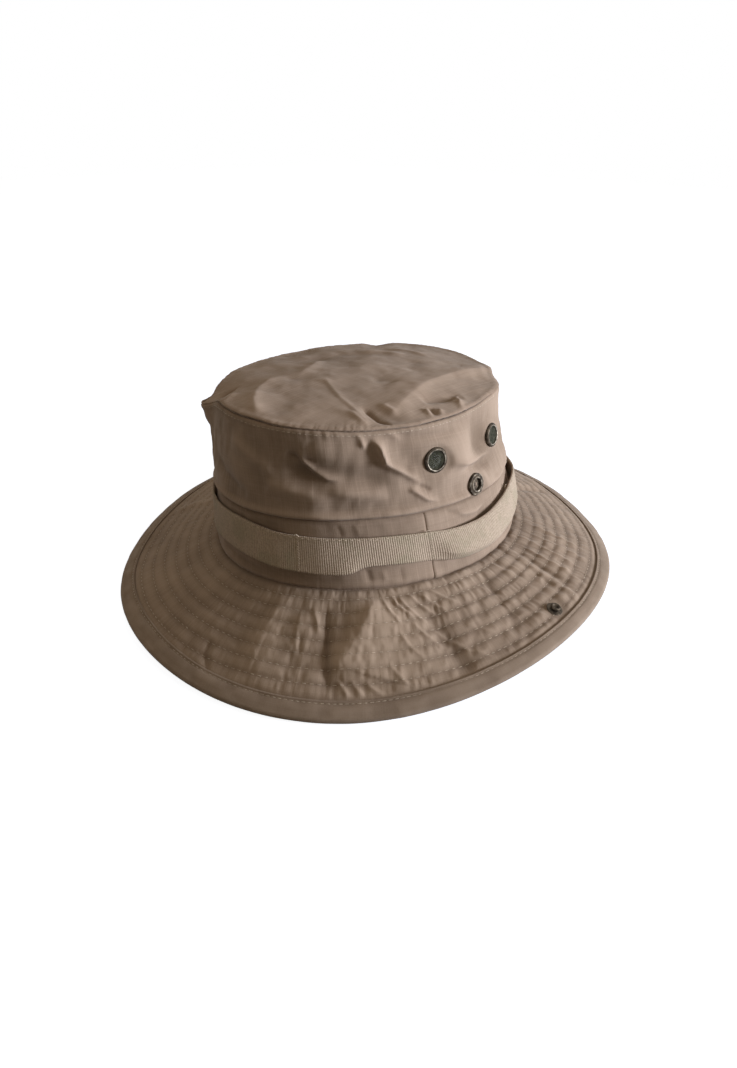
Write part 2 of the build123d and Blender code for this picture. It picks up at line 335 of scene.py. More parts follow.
lowerFolds = {
    "lines": [
        ([(80, 36.5), (84, 32.5), (90, 31), (97, 33)], 1.5, 2.0, 1.2, 1.4),
        ([(76, 38), (80, 35), (85, 35)], -0.8, 1.2, 1.2, 1.4),
        ([(38, 38), (39, 34), (39.5, 30)], -0.5, 1.5, 1.5, 1.6),
        ([(44, 38), (45, 34), (45, 30)], 0.4, 1.6, 1.6, 1.6),
        ([(46, 13), (46.6, 8), (47, 3)], -0.6, 1.6, 1.6, 1.6),
        ([(51, 12), (51.6, 7), (52, 3)], 0.5, 2.0, 2.0, 1.6),
        ([(57, 12), (57, 6), (57, 2)], -0.4, 1.8, 1.8, 1.6),
        ([(-20, 12), (-4, 7), (12, 4)], -0.7, 2.0, 2.0, 1.6),
    ],
    "buckle": 0.55, "pucker": 0.24,
}


def lowerRelief(turn, climb):
    turn, climb = np.broadcast_arrays(np.asarray(turn, float), np.asarray(climb, float))
    below = hatForm["bandSeam"] - climb
    lines = foldsRound(turn, climb, lowerFolds["lines"], hatForm["degreeOfWall"])
    share = turn / 360
    soft = lowerFolds["buckle"] * clothNoise(share * 26, climb / 22, 21, 26)
    soft += 0.2 * clothNoise(share * 90 + climb / 30, climb / 12, 22, 90)
    upright = lowerFolds["pucker"] * np.abs(clothNoise(share * 210, climb / 30, 23, 210))
    relief = lines + soft * smooth(below, 0, 5) * smooth(climb, 0, 5)
    relief += upright * (np.exp(-below / 5) + np.exp(-np.maximum(climb, 0) / 5))
    relief += 0.25 * hump(climb, 2.2, 1.8) - 0.5 * np.exp(-((np.maximum(climb, 0) / 1.0) ** 2))
    join = turnFrom(turn, hatForm["bandJoin"])
    relief += 0.2 * hump(join, 1.0, 0.9) - 0.15 * hump(join, -0.2, 0.4)
    return relief - 0.55 * np.exp(-below / 1.2) - 0.25


# Relief of the quilted brim
brimFolds = {
    "rowFirst": 5.7, "rowPitch": 7.55, "rowCount": 7,
    "lines": [
        ([(33.1, 4), (34.2, 20), (34.9, 32), (35.8, 44), (36.4, 58)], -1.7, 2.4, 1.8, 1.1),
        ([(48.0, 2), (46.6, 10), (44.2, 20), (41.4, 30), (38.6, 42), (37.6, 50)], 2.1, 8.0, 24.0, 1.3),
        ([(6.0, 40), (8, 50), (11.8, 61)], -0.8, 1.5, 1.8, 1.3),
        ([(60, 8), (61.5, 24), (63.1, 44.9), (66.2, 64)], -1.1, 5.0, 6.0, 1.7),
        ([(22, 2), (19.4, 14), (18.2, 30), (19.2, 46), (21.5, 58)], 1.0, 7.0, 11.0, 1.7),
        ([(26, 12), (27.4, 24), (28, 42)], 0.8, 3.0, 6.0, 1.5),
        ([(27, 22), (28.5, 30), (29, 38)], -0.5, 1.4, 1.4, 1.3),
        ([(29.5, 10), (31.5, 18), (33, 26)], 0.7, 1.8, 1.8, 1.4),
        ([(-8, 34), (0, 24), (10, 12)], -0.6, 7.0, 7.0, 2.0),
        ([(83, 6), (82, 20), (80, 38), (78, 52)], -0.7, 3.0, 3.0, 1.6),
        ([(91, 4), (92, 12), (93, 26)], -0.7, 2.0, 2.0, 1.5),
        ([(103.5, 4), (101, 28), (99.6, 50)], -0.7, 1.4, 1.8, 1.4),
        ([(107, 4), (104.8, 28), (103.4, 52)], 0.7, 1.3, 1.3, 1.4),
        ([(112, 4), (109.6, 28), (107.6, 52)], 0.6, 1.3, 1.3, 1.4),
        ([(117.5, 4), (114.6, 28), (112.4, 52)], 0.6, 1.3, 1.3, 1.4),
        ([(123, 4), (120, 28), (117.4, 52)], 0.6, 1.3, 1.3, 1.4),
        ([(150, 6), (154, 28), (155, 52)], -1.1, 3.0, 4.0, 1.5),
        ([(214, 8), (211, 30), (212, 54)], 1.1, 5.0, 4.0, 1.5),
        ([(238, 8), (241, 30), (240, 54)], -1.0, 3.0, 4.0, 1.5),
        ([(300, 10), (297, 34), (299, 56)], 0.8, 5.0, 4.0, 1.5),
    ],
    "slants": [
        ([(49.5, 4), (51, 14), (54, 24)], 0.8), ([(52, 3), (54, 12), (58, 23)], 0.9),
        ([(54, 5), (57, 16), (61, 27)], 0.9),
        ([(57, 4), (60, 13), (64, 24)], 0.9), ([(60, 5), (64, 15), (67, 23)], 0.8),
        ([(63.5, 4), (67, 12), (71, 20)], 0.8),
        ([(56, 22), (59, 32), (62, 41)], 0.7), ([(60, 26), (63, 36), (67, 46)], 0.7),
        ([(52, 24), (54, 34), (57, 44)], 0.6),
        ([(48.5, 40), (50.5, 48), (53, 57)], 0.6), ([(38, 48), (39.5, 53), (41, 58)], 0.8),
        ([(40.5, 47), (42, 53), (44, 58)], 0.7),
        ([(43.5, 49), (45.5, 54), (47.5, 58)], 0.7), ([(64, 40), (68, 48), (71, 55)], 0.6),
        ([(68, 30), (72, 38), (75, 45)], 0.6),
    ],
}


def sideSeams(turn, reach):
    # raised felled seams where the front and back halves of the brim join
    height = np.zeros(np.shape(turn))
    for start, end in ((101.0, 96.6), (-82.0, -80.0)):
        away = turnFrom(turn, start + (end - start) * reach / 55) * (1.7 + 0.016 * reach)
        height += 0.9 * (smooth(away, -2.9, -2.3) - smooth(away, 2.3, 2.9))
        height -= 0.4 * (hump(away, -1.9, 0.35) + hump(away, 1.9, 0.35))
    return height


def rowWave(reach):
    # 0 on a row of stitching and 1 half way to the next
    phase = (reach - brimFolds["rowFirst"]) / brimFolds["rowPitch"]
    return np.abs(np.sin(math.pi * phase)) ** 0.75, np.floor(phase)


def brimRelief(turn, reach, face=1):
    # face is 1 on top and -1 on the lining
    turn, reach = np.broadcast_arrays(np.asarray(turn, float), np.asarray(reach, float))
    b = brimFolds
    wrapped = turnFrom(turn)
    length = brimLength(turn)
    perDegree = 1.66 + 0.016 * reach
    wave, channel = rowWave(reach)
    folds = b["lines"] + [(points, 0.62 * height, 1.25, 0.8, 1.3) for points, height in b["slants"]]
    lines = foldsRound(wrapped % 360, reach, folds, hatForm["degreeOfBrim"], (-360, 0))
    share = turn / 360
    calmLeft = 1 - 0.72 * hump(wrapped, -38, 52)
    strong = hump(wrapped, 92, 26)
    puffed = 0.30 * calmLeft + 0.38 * strong + 0.1
    # short puckers between rows, out of step from one channel to the next
    slant = 0.35 * hump(wrapped, 62, 16) - 0.1
    along = share * 290 + slant * reach / 3 + channel * 0.35
    cross = 1 - 2 * np.abs(clothNoise(along, reach / 9 + 4, 31))
    cross2 = clothNoise(along * 0.45 + 9, reach / 13 + 2, 32)
    puckers = (0.42 * calmLeft + 0.3 * strong) * (0.6 * cross + 0.8 * cross2) * (0.3 + 0.7 * wave)
    ribs = 0.11 * clothNoise(share * 420, reach / 30, 33)
    soft = 1.1 * clothNoise(share * 13, reach / 60 + 1, 34, 13) * smooth(reach, 4, 30)
    soft += 0.32 * clothNoise(share * 46, reach / 17, 35, 46) * (0.5 + calmLeft)
    fromEdge = length - reach
    quiet = smooth(fromEdge, 7.5, 11.5)
    studAway = np.hypot((wrapped % 180 - 90) * perDegree, reach - fittings["snapOut"])
    studCalm = smooth(studAway, 4.8, 9.5)
    body = 1.6 * lines * smooth(reach, 0, 6) + soft
    detail = puffed * wave + puckers + ribs
    if face < 0:
        detail = 0.7 * (puffed * wave) - 0.4 * puckers
        body = -body
    detail = detail * quiet * studCalm * smooth(reach, -0.5, 2.0)
    seam = sideSeams(turn, reach) * quiet * studCalm if face > 0 else 0
    inset = 0.25 * np.exp(-np.maximum(reach, 0) / 1.2)
    return body * (0.2 + 0.8 * quiet) * (0.3 + 0.7 * studCalm) + detail + seam - inset


def editing(piece, action, select="SELECT", **settings):
    # one mesh step on the whole piece, or on nothing selected yet
    bpy.context.view_layer.objects.active = piece
    bpy.ops.object.mode_set(mode="EDIT")
    bpy.ops.mesh.select_all(action=select)
    action(**settings)
    bpy.ops.object.mode_set(mode="OBJECT")


def faceOutwards(piece):
    editing(piece, bpy.ops.mesh.normals_make_consistent, inside=False)


# Cloth sheets: a flat grid whose points are laid on the hat
def newSheet(name, columns, rows, lay):
    bpy.ops.object.select_all(action="DESELECT")
    bpy.ops.mesh.primitive_grid_add(x_subdivisions=columns, y_subdivisions=rows, size=1)
    piece = bpy.context.object
    piece.name = piece.data.name = name
    mesh = piece.data
    flat = np.empty(len(mesh.vertices) * 3, np.float32)
    mesh.vertices.foreach_get("co", flat)
    flat = flat.reshape(-1, 3).astype(float)
    points, pattern, shadeAndWear = lay(flat[:, 0] + 0.5, flat[:, 1] + 0.5)
    mesh.vertices.foreach_set("co", (points * mm).astype(np.float32).ravel())
    corners = np.empty(len(mesh.loops), np.int32)
    mesh.loops.foreach_get("vertex_index", corners)
    layer = mesh.uv_layers[0]
    layer.name = "clothMap"
    layer.data.foreach_set("uv", (pattern[corners] * mm).astype(np.float32).ravel())
    # the third value from each lay is kept per point as painted light and shade: darker in hollows, seams
    # and folds as painted shade, and lighter on ridges, partly as painted light and partly as wear
    wearAndShadeMark = mesh.attributes.new("shadeAndWear", "FLOAT", "POINT")
    wearAndShadeMark.data.foreach_set("value", np.clip(0.5 + shadeAndWear, 0, 1).astype(np.float32))
    bpy.ops.object.shade_smooth()
    mesh.update()
    return piece


def joinEnds(piece, gap=0.02):
    # the first and last columns of a ring lie on each other, so they are merged
    editing(piece, bpy.ops.mesh.remove_doubles, threshold=gap * mm)


def meshFrom(name, points, faces):
    mesh = bpy.data.meshes.new(name)
    mesh.from_pydata(points, [], faces)
    mesh.update()
    piece = bpy.data.objects.new(name, mesh)
    scene.collection.objects.link(piece)
    bpy.ops.object.select_all(action="DESELECT")
    piece.select_set(True)
    faceOutwards(piece)
    return piece


def giveThickness(piece, thick):
    bpy.context.view_layer.objects.active = piece
    solid = piece.modifiers.new("cloth thickness", "SOLIDIFY")
    solid.thickness, solid.offset = thick * mm, -1.0
    bpy.ops.object.modifier_apply(modifier=solid.name)


def facingOut(piece, outwardAt):
    # turns the sheet over if its first faces look the wrong way
    mesh = piece.data
    mesh.update()
    face = mesh.polygons[len(mesh.polygons) // 2]
    if face.normal.dot(outwardAt(face.center)) < 0:
        mesh.flip_normals()


def fromAxis(centre):
    return Vector((centre.x, centre.y, 0))


def upward(centre):
    return Vector((0, 0, 1))


def finishPiece(piece, material, body, nodes=()):
    piece.data.materials.clear()
    piece.data.materials.append(material)
    if body:
        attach(piece, body)
    if nodes:
        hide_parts(*nodes)
    return piece


# Materials: sockets as values in Python expressions
class Wire:
    def __init__(self, tree, socket=None):
        self.tree, self.socket = tree, socket

    def make(self, kind, settings=None, values=None, out=0):
        node = self.tree.nodes.new("ShaderNode" + kind)
        for key, value in (settings or {}).items():
            setattr(node, key, value)
        for key, value in (values or {}).items():
            if isinstance(value, Wire):
                self.tree.links.new(value.socket, node.inputs[key])
            else:
                node.inputs[key].default_value = value
        return Wire(self.tree, node.outputs[out])

    def other(self, name):
        return Wire(self.tree, self.socket.node.outputs[name])

    def maths(self, operation, *values):
        return self.make("Math", {"operation": operation}, dict(enumerate(values)))

    def __add__(self, value):
        return self.maths("ADD", self, value)

    def __sub__(self, value):
        return self.maths("SUBTRACT", self, value)

    def __rsub__(self, value):
        return self.maths("SUBTRACT", value, self)

    def __mul__(self, value):
        return self.maths("MULTIPLY", self, value)

    def __truediv__(self, value):
        return self.maths("DIVIDE", self, value)

    __radd__, __rmul__ = __add__, __mul__

    def ramp(self, low, high, to=(0.0, 1.0)):
        values = {"Value": self, "From Min": low, "From Max": high, "To Min": to[0], "To Max": to[1]}
        return self.make("MapRange", {"interpolation_type": "SMOOTHSTEP"}, values)

    def mix(self, first, second):
        return self.make("Mix", {"data_type": "RGBA"}, {0: self, 6: first, 7: second}, out=2)


def colour(red, green, blue):
    # a colour written as it looks on a screen, from 0 to 255
    def linear(value):
        value /= 255
        return value / 12.92 if value <= 0.04045 else ((value + 0.055) / 1.055) ** 2.4

    return (linear(red), linear(green), linear(blue), 1)


def newMaterial(name, build, **fixed):
    material = bpy.data.materials.new(name)
    material.use_nodes = True
    tree = material.node_tree
    shader = tree.nodes["Principled BSDF"]
    for socket, value in fixed.items():
        shader.inputs[socket.replace("_", " ")].default_value = value
    for socket, wire in build(Wire(tree)).items():
        tree.links.new(wire.socket, shader.inputs[socket.replace("_", " ")])
    return material


def clothCoordinates(start):
    # the cloth's own width and length in millimetres
    spot = start.make("UVMap", {"uv_map": "clothMap"})
    parts = start.make("SeparateXYZ", {}, {0: spot}, out="X")
    return parts * 1000, parts.other("Y") * 1000


def noiseOn(start, x, y, size, detail=2.0, rough=0.5, seed=0.0):
    place = start.make("CombineXYZ", {}, {"X": x, "Y": y, "Z": seed})
    values = {"Vector": place, "Scale": size, "Detail": detail, "Roughness": rough}
    return start.make("TexNoise", {}, values)


def gridLine(along, pitch, half):
    # 1 on lines so far apart and 0 between them
    return along.maths("PINGPONG", along, pitch / 2).ramp(0, half, (1.0, 0.0))


def ripstop(light, dark, look):
    # look: pitch of the grid, pitch of the weave, and how strongly slubs, grid lines and the painted light
    # and shade on crests and hollows show
    grid, pitch, slubShare, lineShare, shadeAndWearShare = look

    def build(start):
        x, y = clothCoordinates(start)
        shadeAndWear = start.make("Attribute", {"attribute_name": "shadeAndWear"}, out="Fac")
        warpSlub = noiseOn(start, x * 1.5, y * 0.03, 1.0, 3.0, 0.65, 3.0)
        weftSlub = noiseOn(start, x * 0.03, y * 1.2, 1.0, 2.0, 0.6, 7.0)
        fewSlubs = noiseOn(start, x * 1.1, y * 0.012, 1.0, 1.0, 0.5, 9.0).ramp(0.66, 0.74)
        blotch = noiseOn(start, x, y, 0.05, 3.0, 0.6, 1.0)
        fuzz = noiseOn(start, x, y, 1.6, 3.0, 0.7, 5.0)
        warpLine, weftLine = gridLine(x, grid, 0.42), gridLine(y, grid, 0.36)
        beat = 2 * math.pi / pitch
        weave = x.maths("SINE", x * beat) * y.maths("SINE", y * beat)
        slub = (warpSlub - 0.5) * 0.8 + (weftSlub - 0.5) * 0.4 + fewSlubs * 0.3
        lines = (warpLine + weftLine * 0.6) * lineShare
        tone = 0.5 + (blotch - 0.5) * 0.55 + slub * slubShare + lines * 0.07
        # painted shade in hollows, seams and folds and painted light on ridges, from the per-point
        # attribute
        tone = tone + (shadeAndWear - 0.5) * shadeAndWearShare + weave * 0.05 + (fuzz - 0.5) * 0.25
        base = tone.ramp(0.0, 1.0).mix(dark, light)
        height = weave * 0.2 + lines * 0.2 + slub * 0.4 + fuzz * 0.6
        bump = start.make("Bump", {}, {"Strength": 0.5, "Distance": 0.00022, "Height": height})
        return {"Base_Color": base, "Roughness": 0.95 - 0.12 * fuzz, "Normal": bump}

    return build


crownCloth = newMaterial(
    "ripstop cloth", ripstop(colour(182, 160, 142), colour(130, 111, 94), (4.6, 0.62, 0.5, 1.0, 0.9)),
    Sheen_Weight=0.12, Sheen_Roughness=0.5, Specular_IOR_Level=0.25,
)
brimCloth = newMaterial(
    "quilted ripstop cloth",
    ripstop(colour(180, 159, 140), colour(120, 102, 86), (4.6, 0.62, 0.35, 0.8, 1.0)),
    Sheen_Weight=0.12, Sheen_Roughness=0.5, Specular_IOR_Level=0.25,
)
bindingCloth = newMaterial(
    "binding tape", ripstop(colour(172, 153, 136), colour(114, 97, 81), (30.0, 0.5, 0.2, 0.0, 0.8)),
    Sheen_Weight=0.15, Sheen_Roughness=0.4, Specular_IOR_Level=0.3,
)
liningCloth = newMaterial(
    "sweatband cotton", ripstop(colour(146, 130, 112), colour(112, 97, 81), (30.0, 0.8, 0.3, 0.0, 0.8)),
    Sheen_Weight=0.1, Specular_IOR_Level=0.2,
)


def ribbedWebbing(start):
    x, y = clothCoordinates(start)
    shadeAndWear = start.make("Attribute", {"attribute_name": "shadeAndWear"}, out="Fac")
    waver = noiseOn(start, x * 0.2, y * 0.35, 1.0, 2.0, 0.5, 2.0)
    along = x * (2 * math.pi / 1.2) + waver * 1.2
    ribs, picks = along.maths("SINE", along), y.maths("SINE", y * (2 * math.pi / 0.9))
    fuzz = noiseOn(start, x, y, 1.1, 3.0, 0.65, 4.0)
    blotch = noiseOn(start, x, y, 0.09, 2.0, 0.5, 6.0)
    # the per-point attribute paints shade along the webbing's lower and upper edges, and painted light and
    # shade following its relief
    tone = ribs * 0.10 + ribs * picks * 0.08 + fuzz.ramp(0.3, 0.7) * 0.25 + (shadeAndWear - 0.5) + 0.37
    cloth = tone.ramp(0.0, 1.0).mix(colour(136, 116, 99), colour(206, 188, 168))
    base = (blotch.ramp(0.45, 0.7) * 0.35).mix(cloth, colour(152, 146, 120))
    height = ribs * 0.6 + picks * 0.2 + fuzz * 0.5
    bump = start.make("Bump", {}, {"Strength": 0.6, "Distance": 0.0003, "Height": height})
    return {"Base_Color": base, "Roughness": 0.95 - 0.1 * fuzz, "Normal": bump}


webbingCloth = newMaterial("ribbed webbing", ribbedWebbing, Sheen_Weight=0.1, Specular_IOR_Level=0.25)


def twistedThread(start):
    place = start.make("TexCoord", out="Object")
    strands = start.make("TexNoise", {}, {"Vector": place, "Scale": 900.0, "Detail": 2.0})
    base = strands.ramp(0.3, 0.7).mix(colour(160, 142, 124), colour(212, 196, 174))
    bump = start.make("Bump", {}, {"Strength": 0.4, "Distance": 0.0001, "Height": strands})
    return {"Base_Color": base, "Roughness": 0.8 - 0.15 * strands, "Normal": bump}


threadFinish = newMaterial("sewing thread", twistedThread, Sheen_Weight=0.2, Specular_IOR_Level=0.35)


def wornBrass(start):
    place = start.make("TexCoord", out="Object")
    wearAndShadeMark = start.make("Attribute", {"attribute_name": "shadeAndWear"}, out="Fac")
    patches = start.make("TexNoise", {}, {"Vector": place, "Scale": 420.0, "Detail": 4.0, "Roughness": 0.6})
    scuffs = start.make("TexNoise", {}, {"Vector": place, "Scale": 1800.0, "Detail": 2.0})
    rub = (wearAndShadeMark + (patches - 0.5) * 0.5).ramp(0.78, 1.1)
    dark = patches.ramp(0.35, 0.7).mix(colour(52, 45, 38), colour(92, 82, 70))
    base = rub.mix(dark, colour(206, 196, 180))
    bump = start.make("Bump", {}, {"Strength": 0.35, "Distance": 0.00012, "Height": patches + scuffs * 0.5})
    return {"Base_Color": base, "Roughness": 0.5 - 0.2 * rub + 0.15 * scuffs, "Normal": bump}


darkBrass = newMaterial("blackened brass", wornBrass, Metallic=1.0)


def wireScreen(start):
    place = start.make("TexCoord", out="Object")
    patches = start.make("TexNoise", {}, {"Vector": place, "Scale": 600.0, "Detail": 3.0})
    base = patches.ramp(0.3, 0.7).mix(colour(50, 51, 40), colour(86, 86, 70))
    return {"Base_Color": base, "Roughness": 0.55 - 0.15 * patches}


screenFinish = newMaterial("vent screen wire", wireScreen, Metallic=0.35)
print("materials ready")

# Crown top panel
topPanel = {
    "columns": 190, "rows": 190, "rimRoll": 0.45,
    "lines": [
        ([(-0.36, 0.96), (-0.40, 0.88), (-0.44, 0.80), (-0.47, 0.68)], -2.4, 1.2, 1.8, 1.1),
        ([(-0.20, 0.98), (-0.27, 0.90), (-0.30, 0.82)], 0.8, 2.0, 2.5, 1.6),
        ([(0.20, 0.98), (0.10, 0.93), (-0.06, 0.84), (-0.24, 0.70), (-0.33, 0.55), (-0.34, 0.38)],
            1.0, 4.5, 3.0, 1.6),
        ([(-0.20, 0.42), (-0.27, 0.33), (-0.33, 0.21), (-0.45, 0.06), (-0.55, -0.08)], 0.9, 4.0, 5.5, 1.5),
        ([(-0.08, 0.41), (0.01, 0.33), (0.35, 0.46), (0.71, 0.55), (0.80, 0.58)], 0.5, 1.2, 2.6, 1.3),
        ([(0.55, 0.45), (0.64, 0.46), (0.76, 0.48), (0.90, 0.46)], -2.1, 1.2, 1.3, 1.1),
        ([(0.52, 0.55), (0.62, 0.56), (0.72, 0.58), (0.80, 0.58)], 1.0, 2.2, 2.6, 1.5),
        ([(0.60, 0.34), (0.70, 0.35), (0.82, 0.36)], 0.9, 2.6, 2.2, 1.6),
        ([(0.8, 0.42), (0.75, 0.34), (0.64, 0.07), (0.56, -0.15), (0.53, -0.43), (0.58, -0.8), (0.6, -0.9)],
            1.9, 7.5, 11.0, 1.3),
        ([(0.74, 0.10), (0.76, 0.04), (0.84, -0.16), (0.86, -0.22)], -1.4, 3.4, 3.4, 1.8),
        ([(0.80, -0.18), (0.83, -0.17), (0.96, -0.08), (1.0, -0.06)], 1.2, 1.8, 2.2, 1.4),
        ([(0.84, 0.15), (0.89, 0.17), (0.98, 0.20)], 1.2, 1.7, 1.5, 1.4),
        ([(0.90, 0.07), (0.93, 0.09), (0.98, 0.11)], 1.0, 1.4, 1.4, 1.4),
        ([(0.84, 0.10), (0.90, 0.13), (0.97, 0.15)], -1.0, 1.4, 1.4, 1.4),
        ([(0.25, -0.20), (0.15, -0.36), (0.08, -0.5)], -0.7, 6.0, 6.0, 2.0),
        ([(-0.1, 0.62), (0.05, 0.68), (0.25, 0.70)], -0.7, 6.0, 6.0, 2.0),
        ([(-0.62, 0.2), (-0.5, -0.2), (-0.2, -0.5)], -0.8, 6.0, 6.0, 2.0),
        ([(-0.50, -0.30), (-0.30, -0.46), (-0.05, -0.50)], 0.8, 4.0, 4.0, 1.8),
        ([(-0.45, -0.55), (-0.2, -0.66), (0.1, -0.62)], 0.7, 3.0, 3.0, 1.7),
        ([(0.20, 0.10), (0.30, 0.02), (0.42, 0.02)], -0.8, 5.0, 5.0, 2.0),
    ],
}


def topRelief(across, along):
    half = hatForm["topHalf"]
    x, y = across * half[0], along * half[1]
    ring = np.hypot(across, along)
    turn = np.degrees(np.arctan2(across, along))
    relief = pressedFolds(x, y, topPanel["lines"], np.array(half))
    soft = 0.8 * clothNoise(x / 30 + 9, y / 30 + 9, 41)
    soft += 0.35 * clothNoise(x / 12, y / 12, 42) + 0.12 * clothNoise(x / 5, y / 5, 43)
    fromRim = (1 - ring) * hatForm["rimSpan"]
    pucker = np.abs(clothNoise((turn / 360) * 300, fromRim / 30, 44, 300)) * 0.4 * np.exp(-fromRim / 3)
    inside = smooth(fromRim, 0, 7)
    sink = -1.6 * aboutTurn(turn, -137, 5) * np.exp(-fromRim / 8)
    rise = 1.3 * aboutTurn(turn, 146, 9) * np.exp(-fromRim / 6)
    relief = (1.35 * relief + 1.25 * soft) * (0.25 + 0.75 * inside)
    return relief + pucker + sink + rise + 0.2 * hump(fromRim, 1.6, 1.4)


def layTop(u, v):
    # a square sheet eased into the oval of the crown, with finer rows near the rim
    a, b = (side + 0.42 * np.sin(math.pi * side) / math.pi for side in (2 * u - 1, 2 * v - 1))
    across, along = a * np.sqrt(1 - b * b / 2), b * np.sqrt(1 - a * a / 2)
    ring = np.hypot(across, along)
    turn = np.degrees(np.arctan2(across, along))
    height = topRelief(across, along)
    x = hatForm["topShift"][0] + hatForm["topHalf"][0] * across
    y = hatForm["topShift"][1] - hatForm["topHalf"][1] * along
    z = topLevel(across, along, hatForm["topDome"]) + height + hatForm["clothThick"]
    fromRim = (1 - ring) * hatForm["rimSpan"]
    z -= topPanel["rimRoll"] * np.exp(-((fromRim / 0.6) ** 2)) + topDrop(turn) * np.exp(-fromRim / 8.0)
    push = (topPush(turn) + 0.3) * np.exp(-fromRim / 6.0)
    x, y = x + push * across / np.maximum(ring, 0.01), y - push * along / np.maximum(ring, 0.01)
    pattern = np.stack([across * hatForm["topHalf"][0], along * hatForm["topHalf"][1]], -1)
    # the third value is painted light and shade following the relief, with painted shade along the rim seam
    return np.stack([x, y, z], -1), pattern, 0.12 * height - 0.1 * np.exp(-fromRim / 0.5)


def topPush(turn):
    # how far the top seam stands proud of its oval
    push = wallFolds["corner"] * cornerAt(turn, 0, 5.0) + 1.25 * cornerAt(turn, -14, 14)
    push += 3.9 * aboutTurn(turn, 124, 9) + 1.5 * aboutTurn(turn, 146, 9) - 1.2 * aboutTurn(turn, -137, 5)
    return push + 0.5 * clothNoise(turn / 360 * 36, 0 * turn, 45, 36)


crownTop = newSheet("crownTop", topPanel["columns"], topPanel["rows"], layTop)
facingOut(crownTop, upward)
giveThickness(crownTop, 1.15)
finishPiece(crownTop, crownCloth, "crown", ["crown_top"])
print("crown top made")


# Crown side wall and the two lower pieces
def laySide(u, v):
    turn = u * 360 - 180
    low = hatForm["bandSeam"] - 0.6
    high = wallLength(turn) - topDrop(turn) - 0.1 + 0.45 * cornerAt(turn, 0, 9)
    v = v - 0.6 * np.sin(2 * math.pi * v) / (2 * math.pi)  # finer rows at both seams
    climb = low + (high - low) * v
    relief = wallRelief(turn, climb)
    lip = -0.7 * np.exp(-np.maximum(climb - low, 0) / 0.5)
    points = wallPoint(turn, climb, relief + lip + wallFolds["skin"])
    above, fromTop = climb - low, high - climb
    # colour per point: painted shade along the band seam and under the top seam, and painted light and
    # shade following the relief
    shadeAndWear = 0.12 * relief - 0.5 * np.exp(-above / 0.9) - 0.4 * np.exp(-fromTop / 0.5)
    return points, np.stack([turn * 1.48, climb], -1), shadeAndWear


def vectorsOf(items, what):
    values = np.empty(len(items) * 3, np.float32)
    items.foreach_get(what, values)
    return values.reshape(-1, 3)


def punchHoles(piece, spots, radius):
    mesh = piece.data
    points = vectorsOf(mesh.vertices, "co")
    near = np.zeros(len(points), bool)
    for spot in spots:
        near |= np.linalg.norm(points - spot * mm, axis=1) < radius * mm
    editing(piece, bpy.ops.mesh.select_mode, "DESELECT", type="VERT")
    mesh.vertices.foreach_set("select", near)
    bpy.ops.object.mode_set(mode="EDIT")
    bpy.ops.mesh.delete(type="VERT")
    bpy.ops.object.mode_set(mode="OBJECT")


crownSide = newSheet("crownSide", 560, 84, laySide)
joinEnds(crownSide)
punchHoles(crownSide, [wallFormPoint(turn, climb) for turn, climb in vents.values()], 5.2)
facingOut(crownSide, fromAxis)
giveThickness(crownSide, 0.75)
finishPiece(crownSide, crownCloth, "crown", ["crown_side"])


def crownSheet(name, node, grid, lay, thick, cloth, closed=True):
    # a sheet of the crown, with its ends joined where it runs all the way round
    piece = newSheet(name, *grid, lay)
    if closed:
        joinEnds(piece)
    facingOut(piece, fromAxis)
    giveThickness(piece, thick)
    finishPiece(piece, cloth, "crown", [node])
    return piece


def layLower(start, stop):
    def lay(u, v):
        turn = start + (stop - start) * u
        climb = -1.6 + (hatForm["bandSeam"] + 2.2) * v
        relief = lowerRelief(turn, climb)
        under = -0.9 * smooth(climb, hatForm["bandSeam"] - 1.2, hatForm["bandSeam"] + 0.3)
        lap = 0.75 * smooth(turn, stop - 1.0, stop - 0.4) + 0.6 * smooth(-turn, -start - 0.7, -start)
        points = wallPoint(turn, climb, relief + under - lap)
        # colour per point: painted shade along both seams, the whole lower wall a little darker as painted
        # shade, and painted light and shade following the relief
        seamShade = np.exp(-np.abs(hatForm["bandSeam"] - climb) / 1.2) + np.exp(-np.abs(climb) / 0.9)
        shadeAndWear = 0.25 * (relief + 0.3) - 0.09 - 0.3 * seamShade
        return points, np.stack([turn * 1.62, climb], -1), shadeAndWear

    return lay


join = hatForm["bandJoin"]
for name, node, start, stop in (
    ("crownLowerFront", "crown_lower_front", join - 180, join + 1.0),
    ("crownLowerBack", "crown_lower_back", join, join + 181.0),
):
    lay = layLower(start, stop)
    lower = crownSheet(name, node, (330, 50), lay, 0.7, crownCloth, closed=False)
print("crown walls made")

